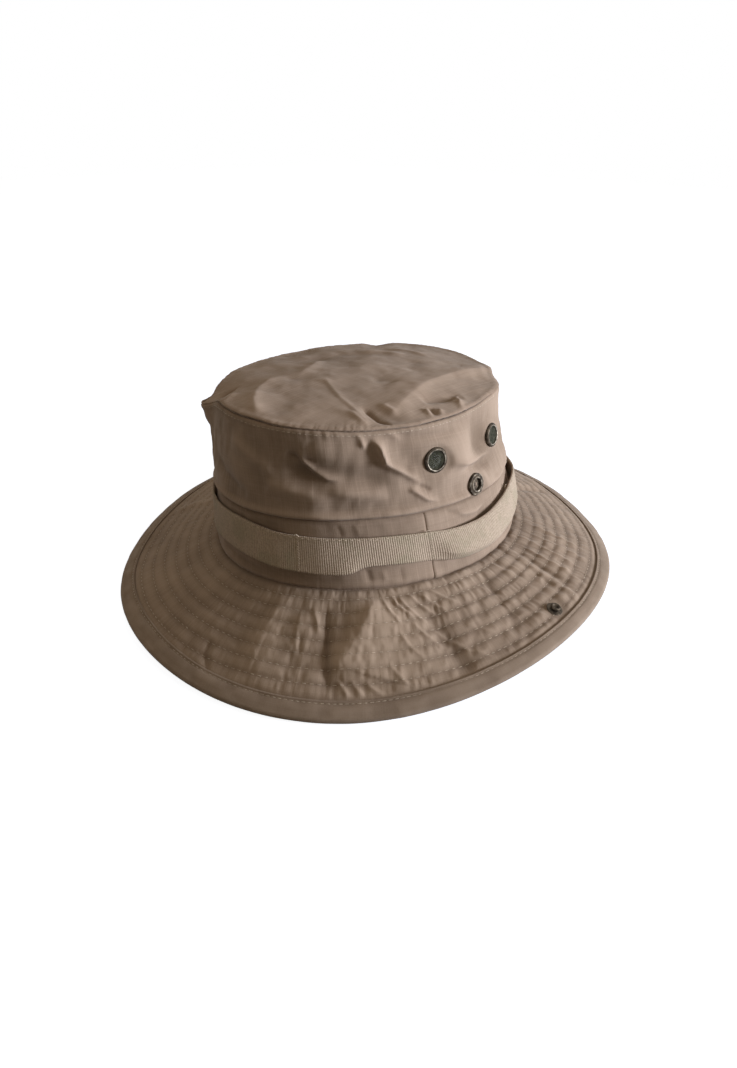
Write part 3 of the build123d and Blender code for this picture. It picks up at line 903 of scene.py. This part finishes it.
# Foliage webbing: turn, then climb and stand-off of its lower edge, middle and upper edge
webbingRun = {
    "points": [
        (-180, 10.0, 0.6, 20.0, 0.7, 29.8, 0.6), (-157, 9.6, 2.2, 19.8, 2.8, 29.6, 1.6),
        (-134, 10.0, 0.5, 20.0, 0.6, 29.8, 0.5), (-112, 9.4, 2.6, 19.6, 3.2, 29.4, 2.0),
        (-89, 10.0, 0.4, 20.0, 0.5, 29.9, 0.4), (-66, 12.0, 1.2, 22.6, 1.8, 33.2, 1.8),
        (-43, 12.6, 0.5, 22.6, 0.9, 33.0, 1.6), (-30, 14.2, 0.8, 24.0, 1.0, 33.4, 1.4),
        (-20, 15.2, 1.6, 25.2, 1.6, 34.6, 1.4), (-10, 16.2, 2.8, 26.2, 2.6, 35.6, 1.6),
        (0, 16.2, 3.6, 26.4, 3.2, 35.6, 1.6), (8, 15.0, 4.0, 25.0, 3.0, 34.2, 1.2),
        (16, 13.2, 3.8, 23.0, 2.4, 32.2, 0.7), (24.6, 11.8, 2.8, 21.6, 1.6, 31.2, 0.4),
        (34, 11.2, 3.0, 21.0, 1.5, 30.8, 0.4), (41, 12.0, 3.2, 21.4, 1.4, 30.6, 0.4),
        (45.5, 14.2, 1.2, 22.2, 1.0, 30.4, 0.4), (52, 14.2, 0.6, 22.0, 0.7, 30.2, 0.4),
        (60, 13.4, 0.5, 21.4, 0.6, 29.6, 0.4), (68.4, 12.0, 0.5, 20.4, 0.6, 28.6, 0.5),
        (76, 9.4, 2.6, 16.0, 4.6, 27.4, 1.2), (84, 8.4, 3.2, 14.6, 5.6, 27.0, 1.9),
        (92, 8.6, 3.4, 14.6, 5.8, 27.2, 2.3), (100, 9.6, 3.2, 16.0, 5.4, 28.6, 2.3),
        (110, 11.0, 2.8, 18.0, 4.6, 30.6, 2.4), (120, 12.4, 2.4, 21.0, 4.0, 32.2, 3.0),
        (130, 12.6, 2.0, 22.4, 3.4, 32.6, 3.2), (140, 11.8, 1.4, 21.6, 2.2, 31.6, 2.0),
        (150, 10.8, 0.7, 20.8, 0.9, 30.6, 0.7), (165, 10.2, 1.8, 20.2, 2.2, 30.0, 1.4),
        (180, 10.0, 0.6, 20.0, 0.7, 29.8, 0.6),
    ],
    "thick": 1.0, "gap": 0.35,
}


def webbingAt(turn):
    table = np.array(webbingRun["points"], float)
    t = turnFrom(np.asarray(turn, float))
    step = np.clip(np.searchsorted(table[:, 0], t, side="right") - 1, 0, len(table) - 2)
    values = []
    for column in range(1, 7):
        y, x = table[:, column], table[:, 0]
        slope = np.gradient(y, x)
        width = x[step + 1] - x[step]
        f = (t - x[step]) / width
        h00, h10 = (1 + 2 * f) * (1 - f) ** 2, f * (1 - f) ** 2
        h01, h11 = f * f * (3 - 2 * f), f * f * (f - 1)
        near = h00 * y[step] + h10 * width * slope[step]
        values.append(near + h01 * y[step + 1] + h11 * width * slope[step + 1])
    return values


def webbingPoint(turn, across, lift=0.0):
    # across runs from 0 at the lower edge to 1 at the upper edge
    lowClimb, lowOut, midClimb, midOut, highClimb, highOut = webbingAt(turn)
    a, b, c = (1 - across) * (1 - 2 * across), 4 * across * (1 - across), across * (2 * across - 1)
    climb = a * lowClimb + b * midClimb + c * highClimb
    out = a * lowOut + b * midOut + c * highOut
    folded = smooth(turn, 69, 78) * smooth(-turn, -132, -118)
    out = out + folded * 1.1 * np.exp(-np.abs(across - 0.36) / 0.10) - folded * 0.5
    out = out + webbingRun["gap"] + webbingRun["thick"] + np.asarray(lift, float)
    out = out + 0.12 * clothNoise(turn / 360 * 90, across * 2.0, 51, 90)
    out = out + 0.10 * np.abs(across * 2 - 1) ** 8
    return wallPoint(turn, climb, out), climb, out


def layWebbing(u, v):
    turn = u * 360 - 180
    points, climb, out = webbingPoint(turn, v)
    # painted shade along the webbing's lower and upper edges, where it stands off the crown
    shadeAndWear = 0.10 - 0.25 * np.exp(-v / 0.03) - 0.12 * np.exp(-(1 - v) / 0.02)
    return points, np.stack([turn * 1.66, v * 20], -1), shadeAndWear


webbingBand = crownSheet(
    "webbingBand", "webbing_band", (640, 26), layWebbing, webbingRun["thick"], webbingCloth
)


# Sweatband and seam tapes inside the crown
def layInner(low, high, back, seed, start=-180.0, stop=180.0):
    def lay(u, v):
        turn = start + (stop - start) * u
        climb = low + (high - low) * v
        bend = 0.16 * clothNoise(turn / 360 * 70, climb / 14, seed, 70)
        points = wallPoint(turn, climb, -back + bend - 0.12 * np.abs(2 * v - 1) ** 6)
        # the third value is painted light and shade following the cloth's small bends
        return points, np.stack([turn * 1.6, climb], -1), 0.4 * bend

    return lay


def layTopTape(u, v):
    # follows the wall and tucks under the top panel, so the seam lets no light through
    turn = u * 360 - 180
    climb = wallLength(turn) - topDrop(turn) - 9.2 + 9.7 * v
    bend = 0.08 * clothNoise(turn / 360 * 70, climb / 14, 62, 70)
    points = wallPoint(turn, climb, wallRelief(turn, climb) - 0.62 + bend)
    # the third value is painted light and shade following the cloth's small bends
    return points, np.stack([turn * 1.6, climb], -1), 0.4 * bend


lay = layInner(0.4, 31.6, 1.55, 61)
sweatband = crownSheet("innerSweatband", "sweatband", (360, 22), lay, 0.8, liningCloth)
topTape = crownSheet("topSeamTape", "top_seam_tape", (560, 14), layTopTape, 0.5, liningCloth)
lay = layInner(40.5, 77, 1.7, 63, 177.0, 183.0)
backTape = crownSheet(
    "backSeamTape", "back_seam_tape", (6, 30), lay, 0.5, liningCloth, closed=False
)
print("band and tapes made")

# Brim: one quilted sheet, in halves that meet at the front and back
flapOf = {1: "brim_left_flap", -1: "brim_right_flap"}
brimBuild = {
    "columns": 480, "rows": 128, "tuck": 0.8,
    "bindingWide": [
        (-180, 8.8), (-60, 8.6), (-33, 8.2), (-10, 9.6), (10, 9.2),
        (50, 8.8), (72, 7.8), (96, 7.0), (120, 7.2), (180, 8.8),
    ],
    "bindingThick": 0.7, "foldStart": -2.0, "foldEnd": 22.0,
}


def bindingWide(turn):
    table = np.array(brimBuild["bindingWide"], float)
    return np.interp(turnFrom(turn), table[:, 0], table[:, 1])


def brimSection(turn, v):
    # v runs over the top, round the brim's edge, back under it and up inside
    over, under, inside = 0.62, 0.66, 0.98
    span, tuck = brimLength(turn) + brimBuild["tuck"], brimBuild["tuck"]
    reachTop = -tuck + span * np.clip(v / over, 0, 1)
    reachUnder = -tuck + span * np.clip((inside - v) / (inside - under), 0, 1)
    reach = np.where(v < under, reachTop, reachUnder)
    rolled = np.cos(math.pi * (v - over) / (under - over))
    turnOver = np.where(v < over, 1.0, np.where(v > under, -1.0, rolled))
    topOut, underOut = brimRelief(turn, reach, 1), brimRelief(turn, reach, -1)
    detail = np.where(turnOver > 0, topOut, underOut)
    up = hatForm["brimThick"] / 2 * (turnOver - 1) + detail * turnOver
    closing = smooth(v, inside, 1.0)
    return reach, up * (1 - closing) + topOut * closing, detail


def layBrim(side):
    def lay(u, v):
        turn = (u if side > 0 else u - 1) * 180
        reach, up, detail = brimSection(turn, v)
        points = brimPoint(turn, reach, up)
        rows = (reach > 4) & (reach < brimLength(turn) - 9)
        # painted light and shade following the relief, painted shade on the stitch rows and painted light
        # on the puffed channels between them
        shadeAndWear = 0.13 * detail + np.where(rows, 0.26 * rowWave(reach)[0] - 0.2, 0)
        # painted shade at the base seam, under the crown's edge
        shadeAndWear = shadeAndWear - 0.3 * np.exp(-np.maximum(reach, 0) / 0.8)
        # painted shade on the far right of the brim and painted light on the lit facet at the front
        shadeAndWear = shadeAndWear - 0.2 * aboutTurn(turn, 122, 24) + 0.1 * aboutTurn(turn, 52, 9)
        return points, np.stack([turn * 2.15, reach], -1), shadeAndWear

    return lay


def levelNormals(piece):
    # the two halves shade as one sheet across the line where they meet
    mesh = piece.data
    mesh.update()
    normals = vectorsOf(mesh.vertex_normals, "vector")
    edge = np.abs(vectorsOf(mesh.vertices, "co")[:, 0]) < 0.02 * mm
    # at the join the cloth has no slope across x
    normals[edge] = unit(normals[edge] * np.array([0.0, 1.0, 1.0]) + np.array([1e-9, 0, 0]))
    mesh.normals_split_custom_set_from_vertices([tuple(n) for n in normals.tolist()])


def foldWithBrim(piece):
    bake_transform(piece)


# each half takes the place of one flap and of one level part
brimLengths = {1: ("left_flap", "brim_front"), -1: ("right_flap", "brim_back")}
for side, name in ((1, "brimLeft"), (-1, "brimRight")):
    brim = newSheet(name, brimBuild["columns"], brimBuild["rows"], layBrim(side))
    joinEnds(brim, 0.01)
    facing = brim.data.polygons[brimBuild["columns"] * 20 + 50]
    if facing.normal.z < 0:
        brim.data.flip_normals()
    bpy.ops.object.mode_set(mode="EDIT")
    bpy.ops.mesh.select_all(action="DESELECT")
    bpy.ops.mesh.select_mode(type="EDGE")
    bpy.ops.mesh.select_non_manifold()
    bpy.ops.mesh.edge_face_add()
    bpy.ops.object.mode_set(mode="OBJECT")
    nodes = [f"{length}_{layer}" for length in brimLengths[side] for layer in ("cover", "core", "lining")]
    finishPiece(brim, brimCloth, None, nodes)
    levelNormals(brim)
    foldWithBrim(brim)
print("brim made")


# Binding: a tape folded over the brim's edge
def bindingSection(turn, v):
    length, wide, thick = brimLength(turn), bindingWide(turn), brimBuild["bindingThick"]
    radius = hatForm["brimThick"] / 2 + 0.12 + thick
    inner = radius - thick
    outside = (v < 0.62) | (v > 0.99)
    path = np.where(v < 0.62, v / 0.62, np.clip((0.98 - v) / 0.36, 0, 1))
    size = np.where(outside, radius, inner)
    flatPart = 0.36
    inwards = np.clip(np.minimum(path, 1 - path) / flatPart, 0, 1)
    reach = length - wide + (wide - 0.4) * inwards
    angle = np.clip((path - flatPart) / (1 - 2 * flatPart), 0, 1) * math.pi
    up = -hatForm["brimThick"] / 2 + size * np.cos(angle)
    reach = reach + size * np.sin(angle)
    inset = reach - (length - wide)
    face = np.where(path < 0.5, 1.0, -1.0)
    soft = face * 0.22 * clothNoise(turn / 360 * 150, reach / 5, 71, 150) * smooth(inset, 0, 2)
    dip = -0.32 * hump(inset, 1.5, 0.55) + 0.18 * hump(inset, 4.6, 2.2)
    body = brimRelief(turn, np.minimum(reach, length), 1) * 0.9
    shaped = face * dip * smooth(np.abs(path - 0.5), 0.1, 0.2)
    lift = body + np.where(outside, shaped + soft * 0.8, soft * 0.5)
    # the third value is painted shade in the groove by the stitch line and on the inner layer against the
    # brim, with painted light and shade following the relief
    return reach, up + lift, np.where(outside, dip + soft, -0.3)


def layBinding(side):
    def lay(u, v):
        turn = (u if side > 0 else u - 1) * 180
        reach, up, detail = bindingSection(turn, v)
        # painted light on the binding's right side, where the window lamp falls
        paintedLight = 0.16 * hump(turnFrom(turn), 105, 40)
        return brimPoint(turn, reach, up), np.stack([turn * 2.7, v * 40], -1), 0.5 * detail + paintedLight

    return lay


for side, name in ((1, "bindingLeft"), (-1, "bindingRight")):
    tape = newSheet(name, 520, 56, layBinding(side))
    joinEnds(tape, 0.01)
    faceOutwards(tape)
    nodes = [length + "_binding" for length in brimLengths[side]]
    finishPiece(tape, bindingCloth, None, nodes)
    levelNormals(tape)
    foldWithBrim(tape)
print("binding made")

# Stitches: one thread bead, copied along each row
stitches = {
    "segments": 6, "rings": 4,
    # pitch, length, width and height of each sort
    "brim": (3.8, 2.3, 0.36, 0.26), "binding": (3.0, 2.3, 0.36, 0.26), "topSeam": (2.6, 1.9, 0.34, 0.24),
    "webbing": (3.1, 1.7, 0.5, 0.36), "webbingEdge": 0.955,
    "tackTurns": (24.6, 68.4, 114.0, 159.0, 204.0, 249.0, 294.0, 339.0), "tackBeads": 26,
    "tack": (1.25, 0.34, 0.24), "hook": (1.3, 0.42, 0.42), "hookBeads": 9,
}


def threadBead():
    bpy.ops.object.select_all(action="DESELECT")
    segments, rings = stitches["segments"], stitches["rings"]
    bpy.ops.mesh.primitive_uv_sphere_add(segments=segments, ring_count=rings, radius=0.5)
    bead = bpy.context.object
    points = np.array([v.co for v in bead.data.vertices])[:, [2, 0, 1]]  # its poles lie along the row
    faces = [list(p.vertices) for p in bead.data.polygons]
    bpy.data.objects.remove(bead)
    return points, faces


beadPoints, beadFaces = threadBead()


def sewRow(places, aheads, ups, long, wide, high):
    # one bead at each place, lying ahead along the row
    ahead, up = unit(aheads), unit(ups)
    frames = np.stack([ahead * long, unit(np.cross(up, ahead)) * wide, up * high], 1)
    return (places[:, None, :] + beadPoints @ frames).reshape(-1, 3)


def threadPiece(name, rows):
    points = np.concatenate(rows) * mm
    faces = []
    for first in range(0, len(points), len(beadPoints)):
        faces += [[first + corner for corner in face] for face in beadFaces]
    piece = meshFrom(name, points.tolist(), faces)
    bpy.ops.object.shade_smooth()
    return piece


def rowTurns(curve, pitch, start, stop):
    # turns a stitch apart along a curve
    fine = np.linspace(start, stop, 1500)
    points = curve(fine)
    run = np.concatenate([[0], np.cumsum(np.linalg.norm(np.diff(points, axis=0), axis=1))])
    count = max(2, int(run[-1] / pitch))
    return np.interp((np.arange(count) + 0.5) * run[-1] / count, run, fine)


def sewCurve(surface, sort, start, stop, lift):
    # surface(turn, lift) gives points on the cloth, or so far off it
    pitch, *size = stitches[sort]
    turns = rowTurns(lambda turn: surface(turn, 0.0), pitch, start, stop)
    aheads = surface(turns + 0.3, 0.0) - surface(turns - 0.3, 0.0)
    return sewRow(surface(turns, lift), aheads, surface(turns, 1.0) - surface(turns, 0.0), *size)


def brimRow(reach, face):
    def surface(turn, lift):
        up = brimRelief(turn, reach, face) + lift
        return brimPoint(turn, reach, up if face > 0 else -hatForm["brimThick"] - up)

    return surface


def bindingRow(face):
    def surface(turn, lift):
        reach = brimLength(turn) - bindingWide(turn) + 1.5
        body = brimRelief(turn, reach, 1) * 0.9
        top = 0.12 + brimBuild["bindingThick"] - 0.3 + lift
        return brimPoint(turn, reach, body + top if face > 0 else body - hatForm["brimThick"] - top)

    return surface


for side, name in ((1, "brimStitchesLeft"), (-1, "brimStitchesRight")):
    start, stop = (0.4, 179.6) if side > 0 else (-179.6, -0.4)
    rows = []
    for i in range(brimFolds["rowCount"]):
        reach = brimFolds["rowFirst"] + i * brimFolds["rowPitch"]
        for face, lift in ((1, 0.12), (-1, 0.05)):
            rows.append(sewCurve(brimRow(reach, face), "brim", start, stop, lift))
    for face in (1, -1):
        rows.append(sewCurve(bindingRow(face), "binding", start, stop, 0.05))
    brimStitches = threadPiece(name, rows)
    finishPiece(brimStitches, threadFinish, None)
    foldWithBrim(brimStitches)


def topSeamRow(turn, lift):
    climb = wallLength(turn) - topDrop(turn) - 2.2
    return wallPoint(turn, climb, wallRelief(turn, climb) + wallFolds["skin"] + lift)


def webbingEdgeRow(turn, lift):
    return webbingPoint(turn, stitches["webbingEdge"], lift)[0]


crownRows = [sewCurve(topSeamRow, "topSeam", -180, 180, 0.02)]
for start, stop in ((2, 118), (118, 360)):
    crownRows.append(sewCurve(webbingEdgeRow, "webbing", start, stop, 0.06))
crownStitches = threadPiece("crownStitches", crownRows)
finishPiece(crownStitches, threadFinish, "crown")

# Bar tacks: close stitching up the webbing at each tack, with a hook of loose thread at its head
tackRows = []
for tackTurn in stitches["tackTurns"]:
    across = np.linspace(0.03, 0.97, stitches["tackBeads"])
    sway = np.where(np.arange(stitches["tackBeads"]) % 2, 0.16, -0.16)
    turns = tackTurn + sway
    places = webbingPoint(turns, across, 0.05)[0]
    ahead = unit(webbingPoint(turns, across + 0.02, 0.05)[0] - places)
    ups = webbingPoint(turns, across, 1.0)[0] - webbingPoint(turns, across, 0.0)[0]
    tilt = unit(wallPoint(turns + 0.5, 20.0) - wallPoint(turns - 0.5, 20.0)) * 0.9 * np.sign(sway)[:, None]
    tackRows.append(sewRow(places, ahead + tilt, ups, *stitches["tack"]))
    angle = np.linspace(-0.4, 3.6, stitches["hookBeads"])
    here = np.full(stitches["hookBeads"], tackTurn)
    head = webbingAt(here)[4] - 0.2
    aside, rise = np.cos(angle), np.sin(angle)
    hook = wallPoint(tackTurn - 0.5 - 0.75 * aside, head + 1.5 * rise, 1.75 + 0.5 * rise)
    outward = wallPoint(here, 30.0, 1.0) - wallPoint(here, 30.0, 0.0)
    tackRows.append(sewRow(hook, np.gradient(hook, axis=0), outward, *stitches["hook"]))
barTacks = threadPiece("barTacks", tackRows)
finishPiece(barTacks, threadFinish, "crown", ["bar_tacks"])
print("stitches sewn")


# Metal fittings, turned on a lathe about their own axis and then set on the cloth
def turned(name, profile, steps=40):
    # profile is radius, height and wear, from the middle out and back
    bpy.ops.object.select_all(action="DESELECT")
    bpy.ops.mesh.primitive_circle_add(vertices=len(profile), radius=mm, fill_type="NOTHING")
    ring = bpy.context.object
    ring.name = ring.data.name = name
    for vertex, (radius, height, wearAndShadeMark) in zip(ring.data.vertices, profile):
        vertex.co = (radius * mm, 0, height * mm)
    level = ring.data.attributes.new("shadeAndWear", "FLOAT", "POINT")
    for i, (radius, height, wearAndShadeMark) in enumerate(profile):
        level.data[i].value = wearAndShadeMark
    editing(ring, bpy.ops.mesh.spin, steps=steps, angle=2 * math.pi, center=(0, 0, 0), axis=(0, 0, 1))
    joinEnds(ring, 0.01)
    faceOutwards(ring)
    bpy.ops.object.shade_smooth_by_angle(angle=math.radians(50))
    return ring


def copyTo(model, name, place):
    # a copy with its own mesh, moved to its place for good
    copy = model.copy()
    copy.data = model.data.copy()
    copy.name = copy.data.name = name
    scene.collection.objects.link(copy)
    copy.data.transform(place)
    copy.matrix_world = Matrix.Identity(4)
    return copy


def placeOn(spot, outward, along):
    z = unit(np.array(outward, float))
    x = unit(np.cross(np.cross(z, along), z))
    y = np.cross(z, x)
    place = Matrix.Identity(4)
    for i in range(3):
        place[i][0], place[i][1], place[i][2], place[i][3] = x[i], y[i], z[i], spot[i] * mm
    return place


eyeletShape = [
    (4.95, -2.2, 0.2), (4.95, -0.4, 0.25), (5.0, 0.8, 0.4), (5.2, 1.3, 0.9),
    (5.55, 1.5, 0.9), (6.0, 1.42, 0.4), (6.5, 1.1, 0.3), (6.85, 0.6, 0.2),
    (6.85, 0.06, 0.2), (6.4, 0.02, 0.2), (5.6, 0.02, 0.2), (5.6, -2.2, 0.2),
]
screenMesh = {"wires": 19, "reach": 4.95, "thick": 0.22}


def wovenScreen():
    # crossed wires that pass over and under each other in a shallow dish
    count, reach, thick = screenMesh["wires"], screenMesh["reach"], screenMesh["thick"]
    pitch = 2 * reach / count
    points, faces = [], []
    for way in (0, 1):
        for i in range(count):
            offset = (i - (count - 1) / 2) * pitch
            half = math.sqrt(max(reach**2 - offset**2, 0.01))
            steps = max(3, int(round(2 * half / pitch * 2)))
            first = len(points)
            for j in range(steps + 1):
                run = -half + 2 * half * j / steps
                wave = 0.1 * math.cos(math.pi * (run / pitch + i + way)) * (1 if way else -1)
                dish = 0.75 - 0.5 * (1 - (run**2 + offset**2) / reach**2)
                for k in range(4):
                    a = math.pi / 2 * k
                    side, up = thick * math.cos(a), thick * math.sin(a)
                    x, y = (run, offset + side) if way else (offset + side, run)
                    points.append((x * mm, y * mm, (wave + dish + up - 0.2) * mm))
            for j in range(steps):
                for k in range(4):
                    a, b = first + j * 4 + k, first + j * 4 + (k + 1) % 4
                    faces.append((a, b, b + 4, a + 4))
            faces.append(tuple(first + k for k in range(3, -1, -1)))
            faces.append(tuple(first + steps * 4 + k for k in range(4)))
    return meshFrom("screenModel", points, faces)


eyeletModel, screenModel = turned("eyeletModel", eyeletShape), wovenScreen()
for ventName, (turn, climb) in vents.items():
    spot = wallFormPoint(turn, climb)
    outward = wallFormNormal(turn, climb)
    place = placeOn(spot + 0.1 * outward, outward, (0, 0, 1.0))
    pieceName = ventName.title().replace("_", "")
    eyelet = copyTo(eyeletModel, pieceName + "Eyelet", place)
    finishPiece(eyelet, darkBrass, "crown", [ventName + "_eyelet"])
    screen = copyTo(screenModel, pieceName + "Screen", place)
    finishPiece(screen, screenFinish, "crown", [ventName + "_screen"])

socketShape = [
    (3.35, 0.5, 0.2), (3.35, 1.7, 0.5), (3.6, 2.1, 0.9), (4.1, 2.25, 0.8), (4.6, 2.05, 0.45),
    (5.0, 1.75, 0.3), (5.4, 1.85, 0.75), (5.9, 1.7, 0.9), (6.25, 1.2, 0.6), (6.3, 0.3, 0.3),
    (6.2, 0.1, 0.2), (1.6, 0.1, 0.1), (1.6, 0.5, 0.15),
]
studShape = [
    (0.02, 1.9, 0.1), (1.1, 1.95, 0.1), (1.5, 2.6, 0.4), (2.0, 2.8, 0.8), (2.6, 2.5, 0.6),
    (2.75, 1.9, 0.2), (2.45, 1.3, 0.1), (2.5, 0.85, 0.1), (3.2, 0.68, 0.1), (4.2, 0.62, 0.3),
    (4.5, 0.4, 0.5), (4.45, 0.1, 0.2), (0.02, 0.1, 0.1),
]
socketModel, studModel = turned("socketModel", socketShape), turned("studModel", studShape)
for side, sideName in ((1, "left"), (-1, "right")):
    turn, climb = sockets[side]
    spot, outward = wallFormPoint(turn, climb), wallFormNormal(turn, climb)
    socket = copyTo(socketModel, sideName + "Socket", placeOn(spot, outward, (0, 0, 1.0)))
    finishPiece(socket, darkBrass, "crown", [sideName + "_snap_socket"])
    middle = boxMiddle(sideName + "_snap_stud")
    base, edge = baseCurve(90.0 * side), edgeCurve(90.0 * side)
    slope = unit(np.array([edge[0] - base[0], 0, edge[2] - base[2]]))
    outward = np.array([-slope[2] * side, 0, abs(slope[0])])
    spot = np.array(middle) - outward * 1.45
    stud = copyTo(studModel, sideName + "Stud", placeOn(spot, outward, (0, 1.0, 0)))
    finishPiece(stud, darkBrass, flapOf[side], [sideName + "_snap_stud"])
for model in (eyeletModel, screenModel, socketModel, studModel):
    bpy.data.objects.remove(model)
for name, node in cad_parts.items():
    if not node.hide_render:
        node.data.materials.clear()
        node.data.materials.append(darkBrass)
print("fittings set")

# Floor, lights and camera
def seenShare(start):
    # 1 where the camera looks, straight or by way of shine or glass, and 0 for light between pieces
    seen = start.make("LightPath", out="Is Camera Ray")
    return (seen + seen.other("Is Glossy Ray") + seen.other("Is Transmission Ray")).ramp(0, 1)


def towards(place):
    a, e = math.radians(place["azimuth"]), math.radians(place["elevation"])
    return Vector((math.sin(a) * math.cos(e), -math.cos(a) * math.cos(e), math.sin(e)))


floorSize = 6.0
bpy.ops.object.select_all(action="DESELECT")
floorPlace = (0, 0, cadBox[0][2] - 0.2 * mm)
bpy.ops.mesh.primitive_grid_add(x_subdivisions=8, y_subdivisions=8, size=floorSize, location=floorPlace)
floor = bpy.context.object
floor.name = "floor"
paper = bpy.data.materials.new("white paper floor")
paper.use_nodes = True
tree = paper.node_tree
start = Wire(tree)
matt = start.make("BsdfDiffuse", {}, {"Color": (0.42, 0.5, 0.66, 1)})
glow = start.make("Emission", {}, {"Color": (1, 1, 1, 1), "Strength": 0.91})
bounce = start.make("BsdfDiffuse", {}, {"Color": (0.13, 0.12, 0.1, 1)})
shown = start.make("AddShader", {}, {0: matt, 1: glow})
surface = start.make("MixShader", {}, {0: seenShare(start), 1: bounce, 2: shown})
tree.links.new(surface.socket, tree.nodes["Material Output"].inputs["Surface"])
floor.data.materials.append(paper)

world = bpy.data.worlds.new("studio")
scene.world = world
world.use_nodes = True
tree = world.node_tree
for node in list(tree.nodes):
    tree.nodes.remove(node)
start = Wire(tree)
dim = start.make("Background", {}, {"Color": (1.22, 1.0, 0.74, 1), "Strength": 0.18})
white = start.make("Background", {}, {"Color": (1, 1, 1, 1), "Strength": 1.0})
output = tree.nodes.new("ShaderNodeOutputWorld")
lit = start.make("MixShader", {}, {0: seenShare(start), 1: dim, 2: white})
tree.links.new(lit.socket, output.inputs["Surface"])

lamps = {
    "window": {
        "azimuth": 121, "elevation": 10, "away": 1.4,
        "size": 0.5, "watts": 24.0, "colour": (0.95, 1.0, 1.09),
    },
    "ceiling": {
        "azimuth": 40, "elevation": 86, "away": 1.5,
        "size": 1.6, "watts": 2.2, "colour": (1.1, 1.0, 0.86),
    },
}
for name, lamp in lamps.items():
    light = bpy.data.lights.new(name, "AREA")
    light.shape, light.size, light.energy, light.color = "DISK", lamp["size"], lamp["watts"], lamp["colour"]
    holder = bpy.data.objects.new(name, light)
    scene.collection.objects.link(holder)
    back = towards(lamp)
    holder.location = back * lamp["away"] + Vector((0, 0, 0.06))
    holder.rotation_euler = (-back).to_track_quat("-Z", "Y").to_euler()

view = {
    "azimuth": 42.04, "elevation": 32.36, "roll": 0.64, "away": 0.44169,
    "aim": (-0.000738, -0.000666, 0.0093), "lens": 22.276, "sensor": 36.0,
}
a, r = math.radians(view["azimuth"]), math.radians(view["roll"])
back = towards(view)
right = Vector((math.cos(a), math.sin(a), 0))
up = back.cross(right)
tilted = (math.cos(r) * right + math.sin(r) * up, -math.sin(r) * right + math.cos(r) * up, back)
lens = bpy.data.cameras.new("camera")
lens.lens, lens.sensor_width, lens.clip_start = view["lens"], view["sensor"], 0.01
camera = bpy.data.objects.new("camera", lens)
scene.collection.objects.link(camera)
spot = Vector(view["aim"]) + back * view["away"]
camera.matrix_world = Matrix([[*(way[i] for way in tilted), spot[i]] for i in range(3)] + [[0, 0, 0, 1]])
scene.camera = camera
scene.view_settings.view_transform = "Standard"
print("stage set")
